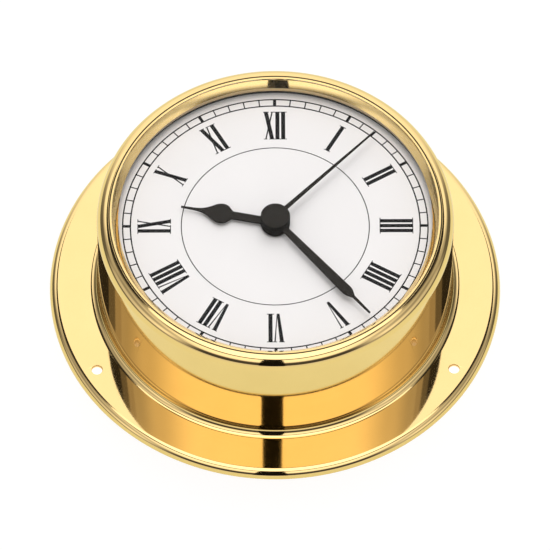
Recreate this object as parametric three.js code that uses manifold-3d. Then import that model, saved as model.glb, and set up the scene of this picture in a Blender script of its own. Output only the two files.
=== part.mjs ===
// A ship's clock: a drawn brass case with a screw-down flange, a Roman dial and a quartz movement behind it.
// Millimetres. The clock lies on its back: +Z points out of the dial and +Y towards twelve o'clock.
// The origin is the centre of the flange's back face, which lies on the bulkhead.
import * as THREE from 'three';
import { mergeVertices } from 'three/addons/utils/BufferGeometryUtils.js';
import Module from 'manifold-3d';

const wasm = await Module();
wasm.setup();

// Case, one piece of drawn sheet brass. It is drawn to fit round the works, which set its width and height.
const sheet = 1;
const flangeWidth = 11.9;
const flangeHeight = 2;
const flangeEdgeRound = 2;
const footFillet = 2;
const rimRound = 3;
const lipWidth = 3.3;
const lipRound = 0.5;
const screwHoleCount = 3;
const screwHoleRadius = 1.3;
const screwEdgeDistance = 5;
const backRoom = 5.2;

// Glass, its gasket, the reflector ring and the dial, from the front to the back.
const glassRecess = 0.1;
const glassThickness = 0.8;
const glassToHub = 0.15;
const gasketWall = 0.2;
const reflectorSeat = 0.3;
const reflectorKneeInset = 1.7;
const reflectorKneeDrop = 1.6;
const reflectorFootInset = 0.9;
const reflectorClearance = 0.15;
const dialThickness = 0.5;
const dialHoleClearance = 0.1;

// Carrier of the dial and the movement, and the split ring that holds it in the case.
const carrierPlate = 1.5;
const carrierWall = 1.5;
const carrierDepth = 8.3;
const carrierClearance = 0.4;
const windowClearance = 0.3;
const cornerRoom = 1.566;
const retainingRingWidth = 1.4;
const retainingRingThickness = 1.2;
const retainingRingGap = 6;

// Movement housing and its cover.
const movementCorner = 2;
const housingWall = 1.5;
const frontPlate = 1.5;
const coverThickness = 1.5;
const bossWall = 0.75;
const earLength = 6;
const earWidth = 8;
const earThickness = 1.5;
const earY = 6;
const earScrewRadius = 0.95;
const earScrewHeadRadius = 1.9;
const earScrewHeadHeight = 1.2;
const earScrewTipGap = 0.2;
const partitionWall = 1.2;
const partitionClearance = 1.8;

// Battery, a cylindrical cell lying across the lower half of the movement, and its contacts.
const batteryRadius = 7.25;
const batteryLength = 50.5;
const batteryNubRadius = 2.75;
const batteryNubLength = 1;
const batteryClearance = 0.25;
const contactThickness = 0.4;
const contactWidth = 8;
const contactGap = 0.1;
const minusSpringDepth = 1.7;
const minusTipDrop = 0.65;

// Wheel train: modules and tooth counts. Each pinion drives the wheel written after it.
const rotorModule = 0.3;
const rotorPinionTeeth = 8;
const intermediateWheelTeeth = 40;
const secondModule = 0.34;
const intermediatePinionTeeth = 8;
const secondWheelTeeth = 48;
const secondPinionTeeth = 8;
const thirdWheelTeeth = 60;
const thirdPinionTeeth = 8;
const minuteWheelTeeth = 64;
const motionModule = 0.3;
const cannonPinionTeeth = 12;
const motionWheelTeeth = 36;
const motionPinionTeeth = 10;
const hourWheelTeeth = 40;
const settingGearTeeth = 18;
const pressureAngle = THREE.MathUtils.degToRad(20);
const toothShare = 0.8;
const wheelAddendum = 0.5;
const pinionAddendum = 0.8;
const rootClearance = 0.3;

// Places of the wheels round the centre arbor, as directions seen from the front.
const thirdDirection = THREE.MathUtils.degToRad(30);
const intermediateDirection = THREE.MathUtils.degToRad(150);
const rotorDirection = THREE.MathUtils.degToRad(170);
const motionDirection = THREE.MathUtils.degToRad(90);

// Thicknesses and gaps of the train.
const wheelThickness = 0.8;
const wheelGap = 0.6;
const pinionOverhang = 0.2;
const thirdPinionRoom = 1.4;
const thirdArborClearance = 0.4;
const bridgeThickness = 1;
const bridgeBeyondRotor = 3.4;
const bridgeAboveRotor = 8;
const bridgeBeyondThird = 9.2;
const bridgeBelowCentre = 8.5;
const bridgeLugWall = 2;
const bridgePostInset = 2;
const arborRadius = 0.45;
const arborEngagement = 0.8;
const runningClearance = 0.15;
const fitGap = 0.05;
const cannonWall = 0.6;
const hourPipeWall = 0.65;
const postRadius = 1.4;
const spigotRadius = 0.7;

// Stepping motor: rotor, stator, core, bobbin and winding.
const magnetRadius = 2.3;
const magnetHeight = 2.6;
const rotorAirGap = 0.5;
const statorThickness = 1;
const statorLift = 1.5;
const statorLegWidth = 3;
const statorLegLength = 10.5;
const statorSideMargin = 1.35;
const statorFootMargin = 0.7;
const statorYokeMargin = 2.2;
const statorWallGap = 2;
const coreWidth = 2.4;
const coreThickness = 1;
const coreInset = 0.3;
const bobbinFlangeRadius = 3.6;
const bobbinFlangeThickness = 0.6;
const bobbinBarrelRadius = 1.9;
const windingRadius = 3.3;

// Circuit board with its crystal and chip.
const boardLength = 19;
const boardWidth = 10.5;
const boardThickness = 1;
const boardDrop = 8.8;
const boardInset = 0.5;
const boardPostInset = 2.2;
const crystalRadius = 1;
const crystalLength = 6;
const chipWidth = 5;
const chipHeight = 1;
const chipInset = 1;
const crystalInset = 2;

// Setting shaft and knob at the back.
const settingShaftRadius = 1.5;
const knobRadius = 6.5;
const knobHeight = 4.3;
const knobGap = 0.5;
const knobFlutes = 24;
const knobFluteDepth = 0.35;
const knobFloor = 0.8;

// Hands. They show a little over twenty-three minutes past nine.
// The minute hand was set by hand, so it stands a fifth of a minute ahead of the second hand's count.
const shownHours = 9;
const shownMinutes = 23;
const minuteHandLead = 0.2;
const shownSecondAngle = THREE.MathUtils.degToRad(44.4);
const hubOverlap = 0.65;
const hubHeight = 1.2;
const hubGap = 0.1;
const dialToHub = 0.85;
const bladeThickness = 0.4;
const hourHandLength = 23.2;
const hourStemWidth = 2.1;
const hourBulbWidth = 5.5;
const hourBulbLowerWidth = 4.7;
const hourBulbUpperWidth = 3.1;
const hourBulbStart = 10.6;
const hourBulbCentre = 13.4;
const hourBulbEnd = 18.6;
const hourTipWidth = 0.42;
const minuteHandLength = 35;
const minuteRootWidth = 1.62;
const minuteShoulderWidth = 2.6;
const minuteShoulder = 26.5;
const minuteNeedleStart = 29;
const minuteNeedleWidth = 0.72;
const minuteTipWidth = 0.47;
const secondHandLength = 34.5;
const secondRootWidth = 0.7;
const secondTipWidth = 0.4;

// How finely round things are cut.
const caseSegments = 48;
const ringSegments = 24;
const pinSegments = 12;
const outerArcSteps = 4;
const innerArcSteps = 2;
const retainingRingArcs = 36;

// How far a cutting tool runs past the face that it cuts through.
const overrun = 1;

// Sizes that follow from the battery and the train: the movement round them, and the case round the movement.
const bayDepth = 2 * (batteryRadius + batteryClearance);
const bayHalfWidth = (batteryLength + minusSpringDepth + contactThickness + 4 * contactGap) / 2;
const bayHalfHeight = bridgeBelowCentre + partitionClearance + partitionWall + bayDepth;
const movementHalfWidth = bayHalfWidth + housingWall;
const movementHalfHeight = bayHalfHeight + housingWall;
const movementDepth = frontPlate + bayDepth;
const windowHalfWidth = movementHalfWidth + windowClearance;
const windowHalfHeight = movementHalfHeight + windowClearance;
const windowReach = Math.max(
  Math.hypot(windowHalfWidth, windowHalfHeight - movementCorner),
  Math.hypot(windowHalfWidth - movementCorner, windowHalfHeight),
);
const carrierInner = windowReach + cornerRoom;
const carrierRadius = carrierInner + carrierWall;
const bodyInner = carrierRadius + carrierClearance;
const bodyRadius = bodyInner + sheet;
const flangeRadius = bodyRadius + flangeWidth;
const screwCircleRadius = flangeRadius - screwEdgeDistance;
const lipRadius = bodyRadius - lipWidth;

// Pipes of the hands, each round the one inside it, and the hubs that cover the hole in the dial.
const cannonRadius = arborRadius + runningClearance + cannonWall;
const hourPipeRadius = cannonRadius + runningClearance + hourPipeWall;
const bossRadius = hourPipeRadius + runningClearance + bossWall;
const hubRadius = bossRadius + hubOverlap;

// Heights that follow from the sizes above.
const handSpace = dialToHub + 3 * hubHeight + 2 * hubGap + glassToHub;
const worksDepth = glassThickness + handSpace + dialThickness + movementDepth + knobGap + knobHeight;
const caseHeight = glassRecess + worksDepth + backRoom;
const glassTop = caseHeight - glassRecess;
const glassBottom = glassTop - glassThickness;
const dialTop = glassBottom - handSpace;
const dialBack = dialTop - dialThickness;
const carrierBack = dialBack - carrierPlate;
const housingInner = dialBack - frontPlate;
const movementBack = dialBack - movementDepth;
const coverInner = movementBack + coverThickness;
const hourWheelZ = housingInner - wheelGap - wheelThickness;
const motionWheelZ = hourWheelZ - wheelGap - wheelThickness;
const bridgeTop = motionWheelZ - wheelGap;
const bridgeBottom = bridgeTop - bridgeThickness;
const minuteWheelZ = bridgeBottom - wheelGap - wheelThickness;
const thirdWheelZ = minuteWheelZ - thirdPinionRoom - wheelThickness;
const secondWheelZ = thirdWheelZ - wheelGap - wheelThickness;
const intermediateWheelZ = secondWheelZ - wheelGap - wheelThickness;
const upperPivotZ = bridgeBottom + arborEngagement;
const lowerPivotZ = coverInner - arborEngagement;
const hourHubZ = dialTop + dialToHub;
const minuteHubZ = hourHubZ + hubHeight + hubGap;
const secondHubZ = minuteHubZ + hubHeight + hubGap;

// Rim: a round from the wall to the lip, whose own small round runs on from it without a corner.
const lipEdge = Math.min(lipRound, sheet);
const rimCentre = bodyRadius - rimRound;
const lipBeyondRim = Math.max(lipRadius + lipEdge - rimCentre, 0);
const lipAboveRim = Math.sqrt((rimRound - lipEdge) ** 2 - lipBeyondRim ** 2);
const rimBase = caseHeight - lipEdge - lipAboveRim;
const rimEnd = Math.atan2(lipAboveRim, lipBeyondRim);
const rimInside = Math.max(rimRound - sheet, fitGap);

// Centre distances. The two meshes of each coaxial pair share one distance.
const rotorDistance = (rotorModule * (rotorPinionTeeth + intermediateWheelTeeth)) / 2;
const intermediateDistance = (secondModule * (intermediatePinionTeeth + secondWheelTeeth)) / 2;
const secondWheelTip = secondModule * (secondWheelTeeth / 2 + wheelAddendum);
const thirdDistance = secondWheelTip + thirdArborClearance + arborRadius;
const thirdModule = (2 * thirdDistance) / (secondPinionTeeth + thirdWheelTeeth);
const minuteModule = (2 * thirdDistance) / (thirdPinionTeeth + minuteWheelTeeth);
const motionDistance = (motionModule * (cannonPinionTeeth + motionWheelTeeth)) / 2;
const hourModule = (2 * motionDistance) / (motionPinionTeeth + hourWheelTeeth);
const settingDistance = (motionModule * (motionWheelTeeth + settingGearTeeth)) / 2;

const along = (from, angle, distance) =>
  new THREE.Vector2(from.x + distance * Math.cos(angle), from.y + distance * Math.sin(angle));
const centre = new THREE.Vector2(0, 0);
const thirdAxis = along(centre, thirdDirection, thirdDistance);
const intermediateAxis = along(centre, intermediateDirection, intermediateDistance);
const rotorAxis = along(intermediateAxis, rotorDirection, rotorDistance);
const motionAxis = along(centre, motionDirection, motionDistance);
const settingAxis = along(motionAxis, motionDirection, settingDistance);

// Materials.
const finish = (color, roughness, metalness, extra = {}) =>
  new THREE.MeshStandardMaterial({ color, roughness, metalness, ...extra });
const polishedBrass = () => finish('#e3b765', 0.12, 1);
const wheelBrass = () => finish('#c9a24f', 0.35, 1);
const steel = () => finish('#b9bdc2', 0.3, 1);
const blackPlastic = () => finish('#1d1e20', 0.55, 0);
const whitePlastic = () => finish('#e4e2da', 0.5, 0);
const blackLacquer = () => finish('#17181a', 0.45, 0);

// Solids. Every geometry becomes a closed body with shared vertices and outward faces.
function toSolid(geometry) {
  const bare = geometry.clone();
  bare.deleteAttribute('normal');
  bare.deleteAttribute('uv');
  const merged = mergeVertices(bare, 1e-5);
  const points = merged.attributes.position;
  const corners = [];
  let volume = 0;
  const a = new THREE.Vector3();
  const b = new THREE.Vector3();
  const c = new THREE.Vector3();
  for (let i = 0; i < merged.index.count; i += 3) {
    const [p, q, r] = [0, 1, 2].map((k) => merged.index.getX(i + k));
    if (p === q || q === r || r === p) continue;
    corners.push(p, q, r);
    a.fromBufferAttribute(points, p);
    b.fromBufferAttribute(points, q);
    c.fromBufferAttribute(points, r);
    volume += a.dot(b.cross(c));
  }
  const triVerts = new Uint32Array(volume < 0 ? corners.reverse() : corners);
  return new wasm.Manifold(new wasm.Mesh({ numProp: 3, vertProperties: points.array, triVerts }));
}

function toGeometry(solid) {
  const mesh = solid.getMesh();
  const geometry = new THREE.BufferGeometry();
  geometry.setAttribute('position', new THREE.BufferAttribute(mesh.vertProperties, 3));
  geometry.setIndex(new THREE.BufferAttribute(mesh.triVerts, 1));
  geometry.computeVertexNormals();
  return geometry;
}

const join = (first, ...others) => others.reduce((sum, other) => sum.add(other), first);
const cut = (first, ...others) => others.reduce((rest, other) => rest.subtract(other), first);

// A profile of [radius, height] points, turned round the Z axis. It closes on itself.
function turned(profile, segments) {
  const points = [...profile, profile[0]].map(([radius, height]) => new THREE.Vector2(radius, height));
  return toSolid(new THREE.LatheGeometry(points, segments).rotateX(Math.PI / 2));
}

function ring(inner, outer, bottom, top, segments = ringSegments) {
  return turned([[inner, bottom], [outer, bottom], [outer, top], [inner, top]], segments);
}

function rod(radius, bottom, top, segments = pinSegments) {
  const cylinder = new THREE.CylinderGeometry(radius, radius, top - bottom, segments);
  return toSolid(cylinder.rotateX(Math.PI / 2).translate(0, 0, (top + bottom) / 2));
}

function rodAt(place, radius, bottom, top, segments = pinSegments) {
  return rod(radius, bottom, top, segments).translate([place.x, place.y, 0]);
}

function plate(outline, bottom, top, curveSegments = 6) {
  const shape = outline instanceof THREE.Shape ? outline : new THREE.Shape(outline);
  const options = { depth: top - bottom, bevelEnabled: false, curveSegments };
  return toSolid(new THREE.ExtrudeGeometry(shape, options).translate(0, 0, bottom));
}

function block(low, high) {
  const size = high.map((value, k) => value - low[k]);
  const middle = high.map((value, k) => (value + low[k]) / 2);
  return toSolid(new THREE.BoxGeometry(...size).translate(...middle));
}

// Points of a round, from one angle to another, as [radius, height] pairs.
function quarter(centreRadius, centreHeight, radius, from, to, steps) {
  return Array.from({ length: steps + 1 }, (_, k) => {
    const angle = from + ((to - from) * k) / steps;
    return [centreRadius + radius * Math.cos(angle), centreHeight + radius * Math.sin(angle)];
  });
}

function chamferedRectangle(halfWidth, halfHeight, corner) {
  const flatX = halfWidth - corner;
  const flatY = halfHeight - corner;
  const points = [[halfWidth, -flatY], [halfWidth, flatY], [flatX, halfHeight], [-flatX, halfHeight]];
  const opposite = points.map(([x, y]) => [-x, -y]);
  return [...points, ...opposite].map(([x, y]) => new THREE.Vector2(x, y));
}

// Involute teeth, thinned for backlash. The phase is the direction of one tooth's middle.
function toothedOutline(teeth, module, addendum, dedendum, phase, heights) {
  const pitch = (teeth * module) / 2;
  const base = pitch * Math.cos(pressureAngle);
  const involute = (angle) => Math.tan(angle) - angle;
  const halfAt = (radius) => {
    const atPitch = (Math.PI / (2 * teeth)) * toothShare + involute(pressureAngle);
    return radius > base ? atPitch - involute(Math.acos(base / radius)) : atPitch;
  };
  const root = pitch - dedendum * module;
  const tip = pitch + addendum * module;
  const radii = heights.map((share) => root + (tip - root) * share);
  const outline = [];
  for (let k = 0; k < teeth; k += 1) {
    const middle = phase + (2 * Math.PI * k) / teeth;
    radii.forEach((radius) => outline.push(along(centre, middle - halfAt(radius), radius)));
    [...radii].reverse().forEach((radius) => outline.push(along(centre, middle + halfAt(radius), radius)));
  }
  return outline;
}

function wheel(teeth, module, phase, bottom) {
  const outline = toothedOutline(teeth, module, wheelAddendum, pinionAddendum + rootClearance, phase, [0, 1]);
  return plate(outline, bottom, bottom + wheelThickness);
}

function pinion(teeth, module, phase, meshedWheelZ) {
  const heights = [0, 0.5, 1];
  const outline = toothedOutline(teeth, module, pinionAddendum, wheelAddendum + rootClearance, phase, heights);
  return plate(outline, meshedWheelZ - pinionOverhang, meshedWheelZ + wheelThickness + pinionOverhang);
}

// Direction of a tooth on the second gear so that it meets the first gear's teeth half a pitch apart.
function meshPhase(firstTeeth, firstPhase, direction, secondTeeth) {
  return direction + Math.PI - (Math.PI - firstTeeth * (direction - firstPhase)) / secondTeeth;
}

// The clock.
const clock = new THREE.Group();

function add(name, solid, material, place = centre, turn = 0) {
  const mesh = new THREE.Mesh(toGeometry(solid), material);
  mesh.name = name;
  mesh.position.set(place.x, place.y, 0);
  mesh.rotation.z = turn;
  clock.add(mesh);
}

// Case: flange, wall and rim in one piece, open at the back, with the lip round the glass.
function caseShell() {
  const edge = Math.min(flangeEdgeRound, flangeHeight);
  const innerEdge = Math.max(edge - sheet, fitGap);
  const innerEdgeRadius = flangeRadius - sheet - innerEdge;
  const upright = Math.PI / 2;
  const foot = bodyRadius + footFillet;
  const footTop = flangeHeight + footFillet;
  const rimInsideEnd = Math.acos(Math.max(lipRadius - rimCentre, 0) / rimInside);
  const profile = [
    [flangeRadius - sheet, 0],
    [flangeRadius, 0],
    ...quarter(flangeRadius - edge, flangeHeight - edge, edge, 0, upright, outerArcSteps),
    ...quarter(foot, footTop, footFillet, 3 * upright, 2 * upright, outerArcSteps),
    ...quarter(rimCentre, rimBase, rimRound, 0, rimEnd, outerArcSteps),
    ...quarter(lipRadius + lipEdge, caseHeight - lipEdge, lipEdge, rimEnd, 2 * upright, innerArcSteps),
    [lipRadius, rimBase + rimInside * Math.sin(rimInsideEnd)],
    ...quarter(rimCentre, rimBase, rimInside, rimInsideEnd, 0, outerArcSteps),
    ...quarter(foot, footTop, footFillet + sheet, 2 * upright, 3 * upright, innerArcSteps),
    ...quarter(innerEdgeRadius, flangeHeight - sheet - innerEdge, innerEdge, upright, 0, innerArcSteps),
  ];
  const distinct = profile.filter(([radius, height], k) => {
    const [nextRadius, nextHeight] = profile[(k + 1) % profile.length];
    return Math.hypot(radius - nextRadius, height - nextHeight) > 1e-6;
  });
  const holes = Array.from({ length: screwHoleCount }, (_, k) => {
    const direction = Math.PI / 2 + (2 * Math.PI * k) / screwHoleCount;
    const place = along(centre, direction, screwCircleRadius);
    return rodAt(place, screwHoleRadius, -overrun, flangeHeight + overrun, ringSegments);
  });
  return cut(turned(distinct, caseSegments), ...holes);
}
add('case_shell', caseShell(), polishedBrass());

// Glass, with a gasket between its edge and the lip.
const gasketInner = lipRadius - fitGap - gasketWall;
const gasket = ring(gasketInner, lipRadius - fitGap, glassBottom, glassTop, caseSegments);
add('glass_gasket', gasket, blackPlastic());
const glassMaterial = finish('#f4f8f8', 0.03, 0, { transparent: true, opacity: 0.2 });
add('front_glass', rod(gasketInner - fitGap, glassBottom, glassTop, caseSegments), glassMaterial);

// Reflector: a brass ring between the glass and the dial, with a bevel above an undercut foot.
// Its back follows the inside of the rim, and its narrow seat stands inside the lip under the gasket.
const reflectorRound = rimInside - reflectorClearance;
const reflectorSeatOuter = lipRadius - fitGap;
const reflectorShoulder = Math.min(
  Math.asin(Math.min((glassBottom - rimBase) / reflectorRound, 1)),
  Math.acos((reflectorSeatOuter - rimCentre) / reflectorRound),
);
const reflectorProfile = [
  [lipRadius - reflectorFootInset, dialTop],
  [bodyInner - reflectorClearance, dialTop],
  ...quarter(rimCentre, rimBase, reflectorRound, 0, reflectorShoulder, outerArcSteps),
  [reflectorSeatOuter, rimBase + reflectorRound * Math.sin(reflectorShoulder)],
  [reflectorSeatOuter, glassBottom],
  [reflectorSeatOuter - reflectorSeat, glassBottom],
  [lipRadius - reflectorKneeInset, glassBottom - reflectorKneeDrop],
];
add('reflector_ring', turned(reflectorProfile, caseSegments), polishedBrass());

// Dial plate, centred on the boss of the movement.
const dial = ring(bossRadius + dialHoleClearance, carrierRadius, dialBack, dialTop, caseSegments);
add('dial_plate', dial, finish('#f3f1ee', 0.5, 0));

// Carrier behind the dial: a plate with a rim and a square window for the movement.
const earScrewX = movementHalfWidth + earLength / 2;
const earScrews = [-1, 1].map((side) => new THREE.Vector2(side * earScrewX, earY));
const screwPassage = earScrewRadius + runningClearance;
function carrier() {
  const profile = [
    [0, carrierBack],
    [carrierInner, carrierBack],
    [carrierInner, dialBack - carrierDepth],
    [carrierRadius, dialBack - carrierDepth],
    [carrierRadius, dialBack],
    [0, dialBack],
  ];
  const low = carrierBack - overrun;
  const high = dialBack + overrun;
  const passages = earScrews.map((place) => rodAt(place, screwPassage, low, high));
  const outline = chamferedRectangle(windowHalfWidth, windowHalfHeight, movementCorner);
  const opening = plate(outline, low, high);
  return cut(turned(profile, caseSegments), opening, ...passages);
}
add('movement_carrier', carrier(), blackPlastic());

// Split spring ring behind the carrier.
function retainingRing() {
  const outer = carrierRadius;
  const inner = outer - retainingRingWidth;
  const half = retainingRingGap / outer / 2;
  const start = -Math.PI / 2 + half;
  const end = 1.5 * Math.PI - half;
  const shape = new THREE.Shape();
  shape.absarc(0, 0, outer, start, end, false);
  shape.absarc(0, 0, inner, end, start, true);
  const top = dialBack - carrierDepth - fitGap;
  return plate(shape, top - retainingRingThickness, top, retainingRingArcs);
}
add('retaining_ring', retainingRing(), steel());

// Stator and board places, which the housing's posts follow.
const rotorHoleRadius = magnetRadius + rotorAirGap;
const statorRight = rotorAxis.x + rotorHoleRadius + statorSideMargin;
const statorLeft = -bayHalfWidth + statorWallGap;
const statorFoot = rotorAxis.y - rotorHoleRadius - statorFootMargin;
const yokeTop = rotorAxis.y + rotorHoleRadius + statorYokeMargin;
const statorTopY = yokeTop + statorLegLength;
const statorZ = intermediateWheelZ + wheelThickness + pinionOverhang + statorLift;
const statorFace = statorZ + statorThickness;
const coreY = statorTopY - coreWidth / 2 - coreInset;
const boardRight = bayHalfWidth - boardInset;
const boardTopY = bayHalfHeight - boardInset;
const boardFace = housingInner - boardDrop;
const boardPosts = [
  new THREE.Vector2(boardRight - boardLength + boardPostInset, boardTopY - boardPostInset),
  new THREE.Vector2(boardRight - boardPostInset, boardTopY - boardWidth + boardPostInset),
];
const statorPosts = [
  new THREE.Vector2(statorLeft + statorLegWidth / 2, yokeTop + postRadius),
  new THREE.Vector2(statorRight - statorLegWidth / 2, yokeTop + statorLegLength / 2),
];
const bridgeLeft = rotorAxis.x - bridgeBeyondRotor;
const bridgeRight = thirdAxis.x + bridgeBeyondThird;
const bridgeLow = -bridgeBelowCentre;
const bridgeHigh = rotorAxis.y + bridgeAboveRotor;
const bridgePosts = [
  new THREE.Vector2(bridgeLeft + bridgePostInset, bridgeLow + bridgePostInset),
  new THREE.Vector2(bridgeRight - bridgePostInset, bridgeLow + bridgePostInset),
  new THREE.Vector2(bridgeRight - bridgePostInset, bridgeHigh - bridgePostInset),
  new THREE.Vector2(bridgeLeft + bridgePostInset, bridgeHigh - bridgePostInset),
];

// A post from the front plate down to a seat, with a spigot through the seated piece.
function post(place, seat, spigotEnd) {
  const stem = rodAt(place, postRadius, seat, housingInner + frontPlate / 2);
  return stem.add(rodAt(place, spigotRadius, spigotEnd, seat + frontPlate / 2));
}

// Housing of the movement: a tray, open at the back, with the boss that centres the dial.
const batteryY = -bayHalfHeight + batteryClearance + batteryRadius;
const batteryZ = housingInner - batteryClearance - batteryRadius;
const partitionLow = batteryY + batteryRadius + batteryClearance;
const movementOutline = chamferedRectangle(movementHalfWidth, movementHalfHeight, movementCorner);
function movementHousing() {
  const outer = plate(movementOutline, coverInner, dialBack);
  const inner = block(
    [-bayHalfWidth, -bayHalfHeight, coverInner - overrun],
    [bayHalfWidth, bayHalfHeight, housingInner],
  );
  const overlap = housingWall / 2;
  const partition = block(
    [-bayHalfWidth - overlap, partitionLow, coverInner],
    [bayHalfWidth + overlap, partitionLow + partitionWall, housingInner + frontPlate / 2],
  );
  const boss = rod(bossRadius, housingInner + frontPlate / 2, dialTop - fitGap, ringSegments);
  const ears = [-1, 1].map((side) => {
    const near = movementHalfWidth - overlap;
    const far = movementHalfWidth + earLength;
    const low = [Math.min(side * near, side * far), earY - earWidth / 2, carrierBack - earThickness];
    const high = [Math.max(side * near, side * far), earY + earWidth / 2, carrierBack];
    return block(low, high);
  });
  const posts = [
    ...bridgePosts.map((place) => post(place, bridgeTop, bridgeBottom)),
    ...statorPosts.map((place) => post(place, statorFace, statorZ)),
    ...boardPosts.map((place) => post(place, boardFace, boardFace - boardThickness)),
  ];
  const bores = [
    rod(hourPipeRadius + runningClearance, coverInner, dialTop + overrun, ringSegments),
    rodAt(motionAxis, arborRadius + runningClearance, coverInner, housingInner + arborEngagement),
    ...earScrews.map((place) => rodAt(place, screwPassage, coverInner, dialTop)),
  ];
  return cut(join(cut(outer, inner), partition, boss, ...ears, ...posts), ...bores);
}
add('movement_housing', movementHousing(), blackPlastic());

// Two screws through the housing's ears into the carrier.
['left', 'right'].forEach((side, k) => {
  const headTop = carrierBack - earThickness - fitGap;
  const profile = [
    [0, headTop - earScrewHeadHeight],
    [earScrewHeadRadius, headTop - earScrewHeadHeight],
    [earScrewHeadRadius, headTop],
    [earScrewRadius, headTop],
    [earScrewRadius, dialBack - earScrewTipGap],
    [0, dialBack - earScrewTipGap],
  ];
  add(`movement_screw_${side}`, turned(profile, pinSegments), steel(), earScrews[k]);
});

// Cover of the movement, with the battery window and the knob's hole.
function movementCover() {
  const base = plate(movementOutline, movementBack, coverInner);
  const batteryWindow = block(
    [-bayHalfWidth, -bayHalfHeight, movementBack - overrun],
    [bayHalfWidth, partitionLow, coverInner + overrun],
  );
  const pivots = [centre, thirdAxis, intermediateAxis, rotorAxis].map((place) =>
    rodAt(place, arborRadius + runningClearance, lowerPivotZ - fitGap, coverInner + overrun),
  );
  const shaftHoleRadius = settingShaftRadius + runningClearance;
  const shaftHole = rodAt(settingAxis, shaftHoleRadius, movementBack - overrun, coverInner + overrun);
  return cut(base, batteryWindow, shaftHole, ...pivots);
}
add('movement_cover', movementCover(), blackPlastic());

// Bridge: the plate that carries the front pivots of the train.
function trainBridge() {
  const lug = settingShaftRadius + bridgeLugWall;
  const outline = [
    [bridgeLeft, bridgeLow],
    [bridgeRight, bridgeLow],
    [bridgeRight, bridgeHigh],
    [settingAxis.x + lug, settingAxis.y + lug],
    [settingAxis.x - lug, settingAxis.y + lug],
    [settingAxis.x - lug, bridgeHigh],
    [bridgeLeft, bridgeHigh],
  ].map(([x, y]) => new THREE.Vector2(x, y));
  const through = (place, radius) => rodAt(place, radius, bridgeBottom - overrun, bridgeTop + overrun);
  const pivotRadius = arborRadius + runningClearance;
  const pivots = [thirdAxis, intermediateAxis, rotorAxis].map((place) =>
    rodAt(place, pivotRadius, bridgeBottom - overrun, upperPivotZ + fitGap),
  );
  const motionPivot = rodAt(motionAxis, pivotRadius, bridgeTop - arborEngagement, bridgeTop + overrun);
  return cut(
    plate(outline, bridgeBottom, bridgeTop),
    through(centre, cannonRadius + runningClearance),
    through(settingAxis, settingShaftRadius + runningClearance),
    motionPivot,
    ...pivots,
    ...bridgePosts.map((place) => through(place, spigotRadius + runningClearance)),
  );
}
add('train_bridge', trainBridge(), whitePlastic());

// Second arbor: the sixty-second wheel, its pinion and the arbor that carries the second hand.
const secondArborTop = secondHubZ + hubHeight / 2;
const secondWheelSolid = join(
  rod(arborRadius, lowerPivotZ, secondArborTop),
  wheel(secondWheelTeeth, secondModule, 0, secondWheelZ),
  pinion(secondPinionTeeth, thirdModule, 0, thirdWheelZ),
);
add('second_wheel', secondWheelSolid, whitePlastic());

// Intermediate wheel between the rotor and the second wheel.
const intermediatePinionPhase = meshPhase(secondWheelTeeth, 0, intermediateDirection, intermediatePinionTeeth);
const intermediateSolid = join(
  rod(arborRadius, lowerPivotZ, upperPivotZ),
  wheel(intermediateWheelTeeth, rotorModule, 0, intermediateWheelZ),
  pinion(intermediatePinionTeeth, secondModule, intermediatePinionPhase, secondWheelZ),
);
add('intermediate_wheel', intermediateSolid, whitePlastic(), intermediateAxis);

// Rotor: a pinion on its arbor, with the ring magnet pressed on.
const rotorPinionPhase = meshPhase(intermediateWheelTeeth, 0, rotorDirection, rotorPinionTeeth);
const rotorSolid = join(
  rod(arborRadius, lowerPivotZ, upperPivotZ),
  pinion(rotorPinionTeeth, rotorModule, rotorPinionPhase, intermediateWheelZ),
);
add('rotor_pinion', rotorSolid, whitePlastic(), rotorAxis);
const magnetBottom = statorZ + statorThickness / 2 - magnetHeight / 2;
const magnet = ring(arborRadius + fitGap, magnetRadius, magnetBottom, magnetBottom + magnetHeight);
add('rotor_magnet', magnet, finish('#4a4b4f', 0.4, 0.8), rotorAxis);

// Third wheel, which slows the second arbor down to the minute wheel.
const thirdWheelPhase = meshPhase(secondPinionTeeth, 0, thirdDirection, thirdWheelTeeth);
const thirdSolid = join(
  rod(arborRadius, lowerPivotZ, upperPivotZ),
  wheel(thirdWheelTeeth, thirdModule, thirdWheelPhase, thirdWheelZ),
  pinion(thirdPinionTeeth, minuteModule, 0, minuteWheelZ),
);
add('third_wheel', thirdSolid, whitePlastic(), thirdAxis);

// Minute wheel, pressed on the cannon pinion that carries the minute hand.
const minuteWheelPhase = meshPhase(thirdPinionTeeth, 0, thirdDirection + Math.PI, minuteWheelTeeth);
const cannonBottom = minuteWheelZ - wheelGap / 2;
const minuteWheelBore = rod(cannonRadius + fitGap, cannonBottom, bridgeBottom, ringSegments);
const minuteWheelSolid = wheel(minuteWheelTeeth, minuteModule, minuteWheelPhase, minuteWheelZ);
add('minute_wheel', cut(minuteWheelSolid, minuteWheelBore), wheelBrass());
const cannonTop = minuteHubZ + hubHeight - hubGap;
const cannonBore = rod(arborRadius + runningClearance, cannonBottom - overrun, cannonTop + overrun);
const cannonBody = join(
  rod(cannonRadius, cannonBottom, cannonTop, ringSegments),
  pinion(cannonPinionTeeth, motionModule, 0, motionWheelZ),
);
add('cannon_pinion', cut(cannonBody, cannonBore), wheelBrass());

// Motion wheel: twelve to one between the cannon pinion and the hour wheel.
const motionWheelPhase = meshPhase(cannonPinionTeeth, 0, motionDirection, motionWheelTeeth);
const motionSolid = join(
  rod(arborRadius, bridgeTop - arborEngagement + fitGap, housingInner + arborEngagement - fitGap),
  wheel(motionWheelTeeth, motionModule, motionWheelPhase, motionWheelZ),
  pinion(motionPinionTeeth, hourModule, 0, hourWheelZ),
);
add('motion_wheel', motionSolid, whitePlastic(), motionAxis);

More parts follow.
